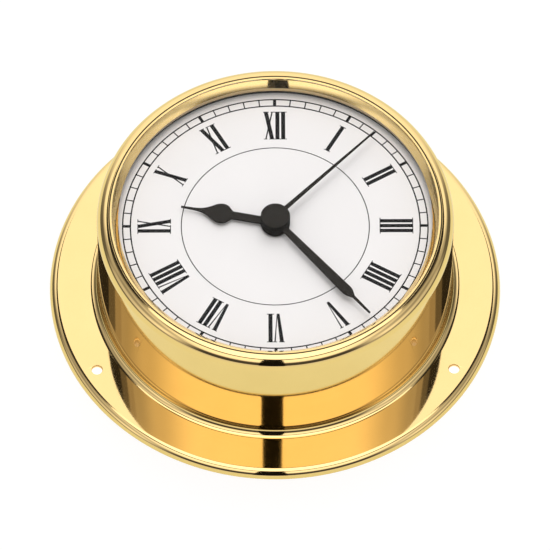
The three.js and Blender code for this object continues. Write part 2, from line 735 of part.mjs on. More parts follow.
// Hour wheel with the pipe that carries the hour hand.
const hourWheelPhase = meshPhase(motionPinionTeeth, 0, motionDirection + Math.PI, hourWheelTeeth);
const hourPipeTop = hourHubZ + hubHeight - hubGap;
const hourBoreRadius = cannonRadius + runningClearance;
const hourPipeBore = rod(hourBoreRadius, hourWheelZ - overrun, hourPipeTop + overrun, ringSegments);
const hourBody = join(
  rod(hourPipeRadius, hourWheelZ, hourPipeTop, ringSegments),
  wheel(hourWheelTeeth, hourModule, hourWheelPhase, hourWheelZ),
);
add('hour_wheel', cut(hourBody, hourPipeBore), whitePlastic());

// Setting shaft, geared to the motion wheel, and the fluted knob on its end.
const settingPhase = meshPhase(motionWheelTeeth, motionWheelPhase, motionDirection, settingGearTeeth);
const knobTop = movementBack - knobGap;
const knobBottom = knobTop - knobHeight;
const settingSolid = join(
  rod(settingShaftRadius, knobBottom + knobFloor + fitGap, motionWheelZ + wheelThickness, ringSegments),
  pinion(settingGearTeeth, motionModule, settingPhase, motionWheelZ),
);
add('setting_shaft', settingSolid, whitePlastic(), settingAxis);
const knobOutline = Array.from({ length: 2 * knobFlutes }, (_, k) =>
  along(centre, (Math.PI * k) / knobFlutes, k % 2 ? knobRadius - knobFluteDepth : knobRadius),
);
const knobBore = rod(settingShaftRadius + fitGap, knobBottom + knobFloor, knobTop + overrun, ringSegments);
add('setting_knob', cut(plate(knobOutline, knobBottom, knobTop), knobBore), whitePlastic(), settingAxis);

// Stator: a U of soft iron round the rotor.
const statorOutline = [
  [statorLeft, statorFoot],
  [statorRight, statorFoot],
  [statorRight, statorTopY],
  [statorRight - statorLegWidth, statorTopY],
  [statorRight - statorLegWidth, yokeTop],
  [statorLeft + statorLegWidth, yokeTop],
  [statorLeft + statorLegWidth, statorTopY],
  [statorLeft, statorTopY],
].map(([x, y]) => new THREE.Vector2(x, y));
const statorHoles = [
  rodAt(rotorAxis, rotorHoleRadius, statorZ - overrun, statorFace + overrun, ringSegments),
  ...statorPosts.map((place) =>
    rodAt(place, spigotRadius + runningClearance, statorZ - overrun, statorFace + overrun),
  ),
];
add('stator', cut(plate(statorOutline, statorZ, statorFace), ...statorHoles), steel());

// Core across the stator's legs, with the bobbin and its winding on it.
const coreLow = coreY - coreWidth / 2;
const core = block(
  [statorLeft, coreLow, statorFace],
  [statorRight, coreLow + coreWidth, statorFace + coreThickness],
);
add('coil_core', core, steel());
const coreZ = statorFace + coreThickness / 2;
const bobbinStart = statorLeft + statorLegWidth + runningClearance;
const bobbinEnd = statorRight - statorLegWidth - runningClearance;
const lieAlongX = (solid) => solid.rotate([0, 90, 0]).translate([0, coreY, coreZ]);
function bobbin() {
  const inside = [bobbinStart + bobbinFlangeThickness, bobbinEnd - bobbinFlangeThickness];
  const profile = [
    [0, bobbinStart],
    [bobbinFlangeRadius, bobbinStart],
    [bobbinFlangeRadius, inside[0]],
    [bobbinBarrelRadius, inside[0]],
    [bobbinBarrelRadius, inside[1]],
    [bobbinFlangeRadius, inside[1]],
    [bobbinFlangeRadius, bobbinEnd],
    [0, bobbinEnd],
  ];
  const slot = block(
    [bobbinStart - overrun, coreLow - fitGap, statorFace - fitGap],
    [bobbinEnd + overrun, coreLow + coreWidth + fitGap, statorFace + coreThickness + fitGap],
  );
  return cut(lieAlongX(turned(profile, ringSegments)), slot);
}
add('coil_bobbin', bobbin(), whitePlastic());
const windingStart = bobbinStart + bobbinFlangeThickness + fitGap;
const windingEnd = bobbinEnd - bobbinFlangeThickness - fitGap;
const winding = ring(bobbinBarrelRadius + fitGap, windingRadius, windingStart, windingEnd);
add('coil_winding', lieAlongX(winding), finish('#b4622d', 0.35, 0.9));

// Circuit board on two posts, with the crystal's can and the chip.
const boardBlock = block(
  [boardRight - boardLength, boardTopY - boardWidth, boardFace - boardThickness],
  [boardRight, boardTopY, boardFace],
);
const boardHoles = boardPosts.map((place) =>
  rodAt(place, spigotRadius + runningClearance, boardFace - boardThickness - overrun, boardFace + overrun),
);
add('circuit_board', cut(boardBlock, ...boardHoles), finish('#2f6a3c', 0.5, 0));
const crystalX = boardRight - boardLength / 2;
const crystal = rod(crystalRadius, -crystalLength / 2, crystalLength / 2, pinSegments)
  .rotate([0, 90, 0])
  .translate([crystalX, boardTopY - crystalInset, boardFace + crystalRadius + fitGap]);
add('quartz_crystal', crystal, steel());
const chipX = boardRight - boardLength / 2;
const chipY = boardTopY - boardWidth + chipWidth / 2 + chipInset;
const chip = block(
  [chipX - chipWidth / 2, chipY - chipWidth / 2, boardFace],
  [chipX + chipWidth / 2, chipY + chipWidth / 2, boardFace + chipHeight],
);
add('driver_chip', chip, blackPlastic());

// Battery and its two contacts in the bay.
const plusFace = bayHalfWidth - contactGap - contactThickness;
const batteryPlusEnd = plusFace - contactGap;
const batteryMinusEnd = batteryPlusEnd - batteryLength;
const batteryProfile = [
  [0, batteryMinusEnd],
  [batteryRadius, batteryMinusEnd],
  [batteryRadius, batteryPlusEnd - batteryNubLength],
  [batteryNubRadius, batteryPlusEnd - batteryNubLength],
  [batteryNubRadius, batteryPlusEnd],
  [0, batteryPlusEnd],
];
const battery = turned(batteryProfile, ringSegments).rotate([0, 90, 0]).translate([0, batteryY, batteryZ]);
add('battery', battery, finish('#3a5f7d', 0.35, 0.4));
const contactPlus = block(
  [plusFace, batteryY - contactWidth / 2, batteryZ - contactWidth / 2],
  [plusFace + contactThickness, batteryY + contactWidth / 2, batteryZ + contactWidth / 2],
);
add('contact_plus', contactPlus, steel());
function minusContact() {
  const wallFace = -bayHalfWidth + contactGap;
  const baseFace = wallFace + contactThickness;
  const half = contactWidth / 2;
  const tipFace = batteryMinusEnd - contactGap;
  const outline = [
    [wallFace, batteryY - half],
    [baseFace, batteryY - half],
    [baseFace, batteryY + half - 2 * contactThickness],
    [tipFace - contactThickness, batteryY - minusTipDrop],
    [tipFace, batteryY - minusTipDrop],
    [baseFace + contactThickness, batteryY + half],
    [wallFace, batteryY + half],
  ].map(([x, y]) => new THREE.Vector2(x, y));
  return plate(outline, batteryZ - half, batteryZ + half);
}
add('contact_minus', minusContact(), steel());

// Hands. Each blade points to twelve in its own drawing and is turned to the time shown.
const fullTurn = 2 * Math.PI;
const minutesPast = shownMinutes + minuteHandLead + shownSecondAngle / fullTurn;
const hoursPast = shownHours + minutesPast / 60;

// A blade from [half width, distance] points up its right side, mirrored to the left.
function bladeOutline(rightSide) {
  const left = [...rightSide].reverse().map(([x, y]) => [-x, y]);
  return [...rightSide, ...left].map(([x, y]) => new THREE.Vector2(x, y));
}

function hand(outline, hubZ, bore, boreTop) {
  const middle = hubZ + hubHeight / 2;
  const blade = plate(outline, middle - bladeThickness / 2, middle + bladeThickness / 2);
  const hub = rod(hubRadius, hubZ, hubZ + hubHeight, ringSegments);
  return cut(join(hub, blade), rod(bore, hubZ - overrun, boreTop, ringSegments));
}

const hourBulb = new THREE.SplineCurve([
  new THREE.Vector2(hourStemWidth / 2, hourBulbStart),
  new THREE.Vector2(hourBulbLowerWidth / 2, (hourBulbStart + hourBulbCentre) / 2),
  new THREE.Vector2(hourBulbWidth / 2, hourBulbCentre),
  new THREE.Vector2(hourBulbUpperWidth / 2, (hourBulbCentre + hourBulbEnd) / 2),
  new THREE.Vector2(hourTipWidth, hourBulbEnd),
]);
const hourOutline = bladeOutline([
  [hourStemWidth / 2, hubRadius / 2],
  ...hourBulb.getPoints(3 * outerArcSteps).map((point) => [point.x, point.y]),
  [hourTipWidth / 2, hourHandLength],
]);
const hourHand = hand(hourOutline, hourHubZ, hourPipeRadius + fitGap, minuteHubZ);
add('hour_hand', hourHand, blackLacquer(), centre, (-fullTurn * hoursPast) / 12);

const minuteOutline = bladeOutline([
  [minuteRootWidth / 2, hubRadius / 2],
  [minuteShoulderWidth / 2, minuteShoulder],
  [minuteNeedleWidth / 2, minuteNeedleStart],
  [minuteTipWidth / 2, minuteHandLength],
]);
const minuteHand = hand(minuteOutline, minuteHubZ, cannonRadius + fitGap, secondHubZ);
add('minute_hand', minuteHand, blackLacquer(), centre, (-fullTurn * minutesPast) / 60);

const secondOutline = bladeOutline([
  [secondRootWidth / 2, hubRadius / 2],
  [secondTipWidth / 2, secondHandLength],
]);
const secondHand = hand(secondOutline, secondHubZ, arborRadius + fitGap, secondArborTop + fitGap);
add('second_hand', secondHand, blackLacquer(), centre, -shownSecondAngle);

export default clock;
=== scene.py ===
import math

import bmesh
import bpy
from mathutils import Matrix, Vector


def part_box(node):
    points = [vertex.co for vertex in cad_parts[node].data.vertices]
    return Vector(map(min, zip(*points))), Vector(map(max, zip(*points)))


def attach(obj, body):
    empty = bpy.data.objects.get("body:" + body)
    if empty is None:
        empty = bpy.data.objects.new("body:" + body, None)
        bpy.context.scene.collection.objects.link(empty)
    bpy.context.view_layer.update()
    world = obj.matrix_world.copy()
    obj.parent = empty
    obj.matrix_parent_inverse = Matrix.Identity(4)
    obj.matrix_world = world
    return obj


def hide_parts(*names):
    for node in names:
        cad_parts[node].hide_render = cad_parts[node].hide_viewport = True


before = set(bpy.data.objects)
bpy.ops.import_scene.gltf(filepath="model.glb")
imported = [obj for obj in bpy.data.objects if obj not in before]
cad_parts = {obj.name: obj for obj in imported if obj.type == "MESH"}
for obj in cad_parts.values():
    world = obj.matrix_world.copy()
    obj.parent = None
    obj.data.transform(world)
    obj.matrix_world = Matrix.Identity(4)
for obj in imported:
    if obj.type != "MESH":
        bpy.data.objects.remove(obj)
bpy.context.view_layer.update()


# Case: flange, wall and rim are drawn from one disc of sheet brass, then lacquered over a mirror polish.
# A fine sunk line marks where the rim turns into its lip, its faces painted dark brown as painted shade for the
# crease.
# Three screws through the holes in its flange hold the clock to the bulkhead.
mm = 0.001
sheet = 1.0
flange_edge_round = 2.0
flange_slope = 2.2
foot_fillet = 2.0
wall_radius = 43.1
rim_round = 3.0
rim_line_radius, rim_line_half, rim_line_depth = 40.1, 0.18, 0.15
lip_radius = 39.8
lip_round = 0.5
lip_roll = 0.35
lip_roll_edge = 0.04
screw_circle_radius = 50.0
screw_hole_radius = 1.3
screw_hole_edge = 0.12
screw_hole_count = 3
hole_overrun = 0.5
case_segments = 240
noise_span = (0.3, 0.7)


def span(node):
    """The low and high corners of a CAD node's box, in mm."""
    return [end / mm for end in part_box(node)]


def arc(centre, radius, start, end, steps):
    """Points of a profile or an outline on an arc, with its angles in degrees."""
    turns = [math.radians(start + (end - start) * k / steps) for k in range(steps + 1)]
    return [(centre[0] + radius * math.cos(turn), centre[1] + radius * math.sin(turn)) for turn in turns]


def on_arc(centre, radius, angle):
    """One point of a profile on an arc, with its angle in degrees."""
    return arc(centre, radius, angle, angle, 1)[0]


def straight(start, end, margin=0.04):
    """Two points just inside the ends of a straight run, which keep its shading flat up to the arcs."""
    share = min(margin / math.dist(start, end), 0.25)
    return [tuple(a + (b - a) * share for a, b in zip(*ends)) for ends in ((start, end), (end, start))]


def smooth(mesh, sharp=35.0):
    """Shades a mesh smooth, with its corners kept sharp."""
    mesh.shade_smooth()
    mesh.set_sharp_from_angle(angle=math.radians(sharp))
    return mesh


def settle(shape, name):
    """Closes a bmesh into a smooth mesh whose faces point outwards."""
    bmesh.ops.remove_doubles(shape, verts=shape.verts[:], dist=1e-7)
    bmesh.ops.dissolve_degenerate(shape, dist=1e-8, edges=shape.edges[:])
    bmesh.ops.recalc_face_normals(shape, faces=shape.faces[:])
    mesh = bpy.data.meshes.new(name)
    shape.to_mesh(mesh)
    shape.free()
    return smooth(mesh)


def turned(name, profile, segments=case_segments, axis=None):
    """A closed profile of [distance from the axis, height] points in mm, turned round Z or a given axis."""
    shape = bmesh.new()
    rings = []
    for k in range(segments):
        cos, sin = math.cos(2 * math.pi * k / segments), math.sin(2 * math.pi * k / segments)
        rings.append([shape.verts.new((r * cos * mm, r * sin * mm, z * mm)) for r, z in profile])
    for here, following in zip(rings, rings[1:] + rings[:1]):
        for k in range(len(profile)):
            n = (k + 1) % len(profile)
            if profile[k][0] > 0 or profile[n][0] > 0:
                shape.faces.new((here[k], following[k], following[n], here[n]))
    if axis is not None:
        bmesh.ops.transform(shape, matrix=axis, verts=shape.verts[:])
    return settle(shape, name)


def place(tree, kind, inputs=None, **settings):
    """Adds a node to a tree and joins or sets its inputs."""
    made = tree.nodes.new(kind)
    for key, value in settings.items():
        setattr(made, key, value)
    for label, value in (inputs or {}).items():
        if isinstance(value, bpy.types.NodeSocket):
            tree.links.new(value, made.inputs[label])
        else:
            made.inputs[label].default_value = value
    return made


def sent(tree, kind, inputs=None, out=None, **settings):
    """Adds a node and gives the output that is named, or else the first one in use."""
    outputs = place(tree, kind, inputs, **settings).outputs
    return outputs[out] if out else next(socket for socket in outputs if socket.enabled)


def vector(tree, **axes):
    """A vector from its X, Y and Z."""
    return sent(tree, "ShaderNodeCombineXYZ", axes)


def moved(tree, geometry, way, **axes):
    """Geometry under a Translation or a Rotation by a vector."""
    return sent(tree, "GeometryNodeTransform", {"Geometry": geometry, way: vector(tree, **axes)})


def new_material(name):
    """A new material, its tree and its shader."""
    material = bpy.data.materials.new(name)
    material.use_nodes = True
    return material, material.node_tree, material.node_tree.nodes["Principled BSDF"]


def finish(name, tones, drift, grain, rough, relief=0.0, metallic=0.0, lie=(1.0, 1.0, 1.0), shine=0.5):
    """A surface that drifts between two tones, with a finer grain (both in mm) in its gloss and its relief."""
    material, tree, shader = new_material(name)
    shader.inputs["Metallic"].default_value = metallic
    shader.inputs["Specular IOR Level"].default_value = shine
    spot = sent(tree, "ShaderNodeTexCoord", out="Object")
    laid = sent(tree, "ShaderNodeMapping", {"Vector": spot, "Scale": lie})
    broad, fine = (
        sent(tree, "ShaderNodeTexNoise", {"Vector": laid, "Scale": 1 / (size * mm), "Detail": detail})
        for size, detail in ((drift, 3.0), (grain, 4.0)))
    ramp = place(tree, "ShaderNodeValToRGB", {"Fac": broad})
    for stop, position, tone in zip(ramp.color_ramp.elements, noise_span, tones):
        stop.position = position
        stop.color = (*tone, 1.0)
    gloss = sent(tree, "ShaderNodeMapRange", {
        "Value": fine, "From Min": noise_span[0], "From Max": noise_span[1],
        "To Min": rough[0], "To Max": rough[1]})
    tree.links.new(ramp.outputs["Color"], shader.inputs["Base Color"])
    tree.links.new(gloss, shader.inputs["Roughness"])
    if relief:
        bump = sent(tree, "ShaderNodeBump", {"Height": fine, "Distance": relief * mm})
        tree.links.new(bump, shader.inputs["Normal"])
    return material


def new_tree(name, sizes):
    """A Geometry Nodes tree with one named input for each size, and those inputs."""
    kinds = {float: "NodeSocketFloat", int: "NodeSocketInt", bpy.types.Material: "NodeSocketMaterial",
             bpy.types.Object: "NodeSocketObject"}
    tree = bpy.data.node_groups.new(name, "GeometryNodeTree")
    tree.interface.new_socket("Geometry", in_out="INPUT", socket_type="NodeSocketGeometry")
    tree.interface.new_socket("Geometry", in_out="OUTPUT", socket_type="NodeSocketGeometry")
    for label, value in sizes.items():
        tree.interface.new_socket(label, in_out="INPUT", socket_type=kinds[type(value)])
    place(tree, "NodeGroupOutput", name="end")
    return tree, place(tree, "NodeGroupInput", name="start").outputs


def loose(name, mesh):
    """A helper object that holds a mesh while a tree or a modifier works on it."""
    held = bpy.data.objects.new(name, mesh)
    bpy.context.scene.collection.objects.link(held)
    return held


def grown(held):
    """Runs the modifiers of a helper object, and gives the plain mesh that comes out."""
    mesh = bpy.data.meshes.new_from_object(held.evaluated_get(bpy.context.evaluated_depsgraph_get()))
    mesh.name = held.name
    held.modifiers.clear()
    bpy.data.objects.remove(held)
    return mesh


def grown_by(tree, sizes, geometry, coat, name, mesh=None):
    """Ends a tree with real geometry in one material, and runs it on a mesh or on nothing."""
    real = sent(tree, "GeometryNodeRealizeInstances", {"Geometry": geometry})
    material = tree.nodes["start"].outputs[coat]
    dressed = sent(tree, "GeometryNodeSetMaterial", {"Geometry": real, "Material": material})
    tree.links.new(dressed, tree.nodes["end"].inputs["Geometry"])
    held = loose(name, mesh or bpy.data.meshes.new(name))
    modifier = held.modifiers.new(tree.name, "NODES")
    modifier.node_group = tree
    for socket in tree.interface.items_tree:
        if socket.in_out == "INPUT" and socket.name in sizes:
            modifier[socket.identifier] = sizes[socket.name]
    return grown(held)


def fit(name, mesh, material, body, slot, *nodes):
    """Puts a finished mesh on its body, in place of the CAD nodes that it stands for."""
    piece = loose(name, mesh)
    mesh.materials.clear()
    mesh.materials.append(material)
    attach(piece, body)
    if nodes:
        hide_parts(*nodes)
    return piece


def fit_turned(name, profile, material, body, slot, *nodes, segments=case_segments, axis=None):
    """Turns a profile and puts it on its body."""
    return fit(name, turned(name, profile, segments, axis), material, body, slot, *nodes)


def paint(piece, material, chosen):
    """Gives the faces that a test picks out a second material."""
    piece.data.materials.append(material)
    for face in piece.data.polygons:
        if chosen(face):
            face.material_index = 1


case_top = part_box("case_shell")[1]
flange_radius, case_height = case_top.x / mm, case_top.z / mm


def flange_top(radius):
    """Height of the flange's front face, which falls a little towards its edge."""
    return flange_edge_round / flange_lean + (edge_centre[0] - radius) * flange_fall


brass = finish(
    "polished_brass", [(0.888, 0.638, 0.276), (0.908, 0.658, 0.29)], 9.0, 0.35, (0.035, 0.06), metallic=1.0)
# Dark brown for the rim's sunk line: painted shade for the crease, not a colour of the brass itself.
line_brown = finish(
    "line_brown", [(0.07, 0.05, 0.018), (0.1, 0.073, 0.028)], 4.0, 0.2, (0.4, 0.55), 0.003, 0.5)

edge_centre = (flange_radius - flange_edge_round, 0.0)
flange_fall = math.tan(math.radians(flange_slope))
flange_lean = math.cos(math.radians(flange_slope))
edge_end, foot_start = 90 - flange_slope, 270 - flange_slope
foot_radius = wall_radius + foot_fillet
foot_centre = (foot_radius, flange_top(foot_radius) + foot_fillet / flange_lean)
lip_centre = (lip_radius + lip_round, case_height - lip_round)
lip_beyond_rim = lip_centre[0] - (wall_radius - rim_round)
lip_above_rim = math.sqrt((rim_round - lip_round) ** 2 - lip_beyond_rim ** 2)
rim_centre = (wall_radius - rim_round, lip_centre[1] - lip_above_rim)
rim_end = math.degrees(math.atan2(lip_above_rim, lip_beyond_rim))
case_profile = [
    (flange_radius - sheet, 0.0),
    *arc(edge_centre, flange_edge_round, 0, edge_end, 12),
    *straight(on_arc(edge_centre, flange_edge_round, edge_end), on_arc(foot_centre, foot_fillet, foot_start)),
    *arc(foot_centre, foot_fillet, foot_start, 180, 12),
    *straight((wall_radius, foot_centre[1]), (wall_radius, rim_centre[1])),
    *arc(rim_centre, rim_round, 0, rim_end, 22),
    *arc(lip_centre, lip_round, rim_end, 90, 4)[1:],
    (rim_line_radius + rim_line_half, case_height),
    (rim_line_radius, case_height - rim_line_depth),
    (rim_line_radius - rim_line_half, case_height),
    *arc((lip_radius - lip_roll + lip_roll_edge, case_height - lip_roll_edge), lip_roll_edge, 90, 270, 6),
    (lip_radius, case_height - 2 * lip_roll_edge),
    (lip_radius, rim_centre[1] + rim_round - sheet),
    *arc(rim_centre, rim_round - sheet, 90, 0, 8),
    *straight((wall_radius - sheet, rim_centre[1]), (wall_radius - sheet, foot_centre[1])),
    *arc(foot_centre, foot_fillet + sheet, 180, foot_start, 8),
    *straight(on_arc(foot_centre, foot_fillet + sheet, foot_start),
              on_arc(edge_centre, flange_edge_round - sheet, edge_end)),
    *arc(edge_centre, flange_edge_round - sheet, edge_end, 0, 8)[:-1],
]
hole_flare = screw_hole_radius + screw_hole_edge
hole_top = flange_top(screw_circle_radius)
hole_bottom = hole_top - sheet
cutter = loose("screw_hole_cutter", turned("screw_hole_cutter", [
    (0.0, hole_bottom - hole_overrun),
    (hole_flare, hole_bottom - hole_overrun),
    *arc((hole_flare, hole_bottom + screw_hole_edge), screw_hole_edge, 270, 180, 6),
    *arc((hole_flare, hole_top - screw_hole_edge), screw_hole_edge, 180, 90, 6),
    (hole_flare, hole_top + hole_overrun),
    (0.0, hole_top + hole_overrun),
], segments=40))
hole_sizes = {
    "Holes": screw_hole_count, "Hole circle": screw_circle_radius * mm, "First hole": math.pi / 2,
    "Cutter": cutter, "Brass": brass,
}
tree, given = new_tree("flange_screw_holes", hole_sizes)
spots = sent(tree, "GeometryNodeMeshCircle", {"Vertices": given["Holes"], "Radius": given["Hole circle"]})
aimed = moved(tree, spots, "Rotation", Z=given["First hole"])
drill = sent(tree, "GeometryNodeObjectInfo", {"Object": given["Cutter"]}, out="Geometry")
drilled = sent(tree, "GeometryNodeInstanceOnPoints", {"Points": aimed, "Instance": drill})
bores = sent(tree, "GeometryNodeRealizeInstances", {"Geometry": drilled})
cut = sent(tree, "GeometryNodeMeshBoolean", {"Mesh 1": given["Geometry"], "Mesh 2": bores},
           operation="DIFFERENCE", solver="EXACT")
case_blank = turned("case_shell_brass", case_profile)
case_mesh = grown_by(tree, hole_sizes, cut, "Brass", "case_shell_brass", case_blank)
bpy.data.objects.remove(cutter)
case = fit("case_shell_brass", smooth(case_mesh), brass, "case", "polished_brass", "case_shell")


def in_rim_line(face):
    """Whether a face lies in the sunk line round the rim."""
    sunk = case_height - face.center.z / mm
    across = face.center.xy.length / mm - rim_line_radius
    return abs(across) < rim_line_half and rim_line_depth / 4 < sunk < rim_line_depth


# The sunk line's faces take the dark brown that stands in for the crease's shade: painted shade.
paint(case, line_brown, in_rim_line)


# Gasket: a thin band of honey-coloured rubber round the glass, pressed into the rim's lip.
# It keeps spray out and holds the glass without cement.
gasket_low, gasket_high = span("glass_gasket")
gasket_wall = 0.2
gasket_round = 0.06
inner_bottom, outer_bottom, outer_top, inner_top = 180, 270, 0, 90
honey_rubber = finish("honey_rubber", [(0.5, 0.37, 0.16), (0.56, 0.43, 0.2)], 3.0, 0.2, (0.35, 0.5), 0.004)


def corner(radius, height, rounding, start, steps):
    """A corner of a profile, rounded by a quarter turn that begins at a given angle."""
    across = rounding if start in (inner_bottom, inner_top) else -rounding
    along = rounding if start in (inner_bottom, outer_bottom) else -rounding
    return arc((radius + across, height + along), rounding, start, start + 90, steps)


def rounded_band(inner, outer, low, high, rounding, steps):
    """The profile of a ring with four rounded corners."""
    places = ((inner, low, inner_bottom), (outer, low, outer_bottom), (outer, high, outer_top),
              (inner, high, inner_top))
    return [point for radius, height, start in places
            for point in corner(radius, height, rounding, start, steps)]


gasket_profile = rounded_band(
    gasket_high.x - gasket_wall, gasket_high.x, gasket_low.z, gasket_high.z, gasket_round, 4)
fit_turned("glass_gasket_band", gasket_profile, honey_rubber, "case", "gasket_rubber", "glass_gasket")


# Glass: a flat pane with a ground edge, laid into the lip from behind and coated against glare.
# The reflector ring under it carries it.
glass_low, glass_high = span("front_glass")
glass_edge = 0.08
glass_radius = glass_high.x
glass_look = {
    "Base Color": (0.995, 1.0, 0.995, 1.0), "Roughness": 0.0, "IOR": 1.5,
    "Specular Tint": (0.05, 0.05, 0.05, 1.0), "Transmission Weight": 1.0,
}


def calc(tree, operation, a, b):
    """One sum on two values."""
    return sent(tree, "ShaderNodeMath", {0: a, 1: b}, operation=operation)


def mixed(tree, share, a, b):
    """One surface, or another by a share."""
    return sent(tree, "ShaderNodeMixShader", {"Fac": share, 1: a, 2: b})


def show(tree, surface, end="Material Output"):
    """Makes a surface the one that a tree shows."""
    tree.links.new(surface, tree.nodes[end].inputs["Surface"])


def clear_glass():
    """Coated clear glass that lets lamp light and the dial's light straight through."""
    material, tree, shader = new_material("clear_glass")
    for label, value in glass_look.items():
        shader.inputs[label].default_value = value
    path = place(tree, "ShaderNodeLightPath").outputs
    passing = calc(tree, "MAXIMUM", path["Is Shadow Ray"], path["Is Diffuse Ray"])
    show(tree, mixed(tree, passing, shader.outputs["BSDF"], sent(tree, "ShaderNodeBsdfTransparent")))
    return material


glass_profile = [
    (0.0, glass_low.z),
    (glass_radius - glass_edge, glass_low.z),
    (glass_radius, glass_low.z + glass_edge),
    (glass_radius, glass_high.z - glass_edge),
    (glass_radius - glass_edge, glass_high.z),
    (0.0, glass_high.z),
]
fit_turned("front_glass_pane", glass_profile, clear_glass(), "case", "clear_glass", "front_glass")


# Reflector ring: a turned brass ring that fills the step from the glass down to the dial.
# Its rounded bevel is polished as the case is, and the lower end of its undercut foot is painted black as
# painted shade for the dark gap above the dial.
reflector_low, reflector_high = span("reflector_ring")
reflector_seat = (39.45, 39.75)
reflector_knee = Vector((37.92, 30.45))
reflector_foot = Vector((38.9, reflector_low.z))
# Share of the foot, from its lower end, that takes the painted shade of the gap above the dial.
foot_shade_share = 0.42
reflector_clearance = 0.15
bevel_turn = 9.0
bevel_top = Vector((reflector_seat[0], reflector_high.z))
bevel_run = reflector_knee - bevel_top
bevel_radius = bevel_run.length / 2 / math.sin(math.radians(bevel_turn / 2))
bevel_reach = bevel_radius * math.cos(math.radians(bevel_turn / 2)) / bevel_run.length
bevel_centre = (bevel_top + reflector_knee) / 2 + Vector((-bevel_run.y, bevel_run.x)) * bevel_reach
bevel_start, bevel_end = (
    math.degrees(math.atan2(*reversed(end - bevel_centre))) for end in (bevel_top, reflector_knee))
reflector_round = rim_round - sheet - reflector_clearance
painted_shade_line = reflector_foot.lerp(reflector_knee, foot_shade_share)
reflector_profile = [
    tuple(reflector_foot),
    (reflector_high.x, reflector_low.z),
    *arc(rim_centre, reflector_round, 0, 90, 8),
    (reflector_seat[1], rim_centre[1] + reflector_round),
    (reflector_seat[1], reflector_high.z),
    *arc(bevel_centre, bevel_radius, bevel_start, bevel_end, 10),
    tuple(painted_shade_line),
]
reflector = fit_turned("reflector_cone", reflector_profile, brass, "case", "polished_brass", "reflector_ring")
# Near-black on the foot's lower faces: painted shade for the dark gap and corner above the dial.
gap_shade_black = finish("foot_black_paint", [(0.012, 0.012, 0.009), (0.02, 0.019, 0.014)], 2.0, 0.15, (0.5, 0.7),
                    0.003, shine=0.2)
foot_reach = reflector_foot.x + reflector_clearance
paint(reflector, gap_shade_black, lambda face: (
    face.center.z < painted_shade_line.y * mm and face.center.xy.length < foot_reach * mm))


# Movement housing: a moulded black box whose front boss passes the hands' pipes through the dial.
# Two ears on its sides take the screws that hold it to the carrier.
black_plastic = finish(
    "black_moulding", [(0.013, 0.0135, 0.0145), (0.02, 0.0205, 0.0215)], 6.0, 0.12, (0.42, 0.6), 0.012)
white_plastic = finish(
    "white_moulding", [(0.7, 0.69, 0.65), (0.76, 0.75, 0.71)], 6.0, 0.15, (0.38, 0.52), 0.008)


def dress(material, *nodes):
    """Gives carried-over CAD nodes their finish."""
    for name in nodes:
        mesh = bpy.data.objects[name].data
        mesh.materials.clear()
        mesh.materials.append(material)


dress(black_plastic, "movement_housing")


# Stepping motor: a stamped stator of soft iron, a coil on a moulded bobbin and a magnet on a steel pinion.
# One pulse each second turns the rotor half round.
soft_iron = finish("stamped_iron", [(0.3, 0.3, 0.31), (0.38, 0.38, 0.39)], 4.0, 0.2, (0.35, 0.5), 0.004, 1.0)
magnet_grey = finish(
    "sintered_magnet", [(0.05, 0.05, 0.053), (0.08, 0.08, 0.084)], 1.2, 0.1, (0.5, 0.7), 0.01, 0.6)
copper_wire = finish("enamelled_copper", [(0.5, 0.16, 0.05), (0.62, 0.24, 0.09)], 2.0, 0.1, (0.25, 0.4), 0.02,
                     0.9, lie=(6.0, 1.0, 1.0))
steel = finish("spring_steel", [(0.52, 0.53, 0.54), (0.62, 0.63, 0.64)], 5.0, 0.15, (0.22, 0.36), 0.002, 1.0)
dress(soft_iron, "stator", "coil_core")
dress(white_plastic, "coil_bobbin")
dress(copper_wire, "coil_winding")
dress(magnet_grey, "rotor_magnet")
dress(steel, "rotor_pinion")


# Wheel train: moulded wheels under a moulded bridge, with the wheels that carry the hands in rolled brass.
# Steel arbors run in holes in the bridge and the cover.
wheel_brass = finish("wheel_brass", [(0.6, 0.4, 0.13), (0.68, 0.47, 0.17)], 3.0, 0.12, (0.28, 0.4), 0.003, 1.0)
dress(black_plastic, "train_bridge")
dress(wheel_brass, "second_wheel", "minute_wheel", "cannon_pinion")
dress(white_plastic, "intermediate_wheel", "third_wheel", "motion_wheel", "hour_wheel")


# Circuit board: a green laminate with the clock's quartz crystal in its can and one driver chip.
# Two moulded posts in the housing hold it.
board_green = finish(
    "green_laminate", [(0.01, 0.075, 0.028), (0.016, 0.1, 0.04)], 2.0, 0.2, (0.3, 0.45), 0.004)
dress(board_green, "circuit_board")
dress(steel, "quartz_crystal")
dress(black_plastic, "driver_chip")


# Cover: a moulded black plate that closes the movement's back and takes the rear pivots of the train.
# It has the battery's window and a hole for the setting shaft.
cover_low, cover_high = span("movement_cover")
cover_corner = 2.0
cover_edge = 0.25
window_half_width = 26.5
window_low, window_high = -26.5, -11.5
shaft_place = (0.0, 15.3)
shaft_hole_radius = 1.65


def ring_of(centre, radius, count):
    """A round outline of [x, y] points."""
    return arc(centre, radius, 0, 360, count)[:-1]


def box_of(low, high):
    """A box outline of [x, y] points."""
    return [(high[0], low[1]), (high[0], high[1]), (low[0], high[1]), (low[0], low[1])]


def chamfered(half_width, half_height, cut_off):
    """A box outline about the centre with its corners cut off."""
    wide, high = half_width - cut_off, half_height - cut_off
    return [(half_width, -high), (half_width, high), (wide, half_height), (-wide, half_height),
            (-half_width, high), (-half_width, -high), (-wide, -half_height), (wide, -half_height)]


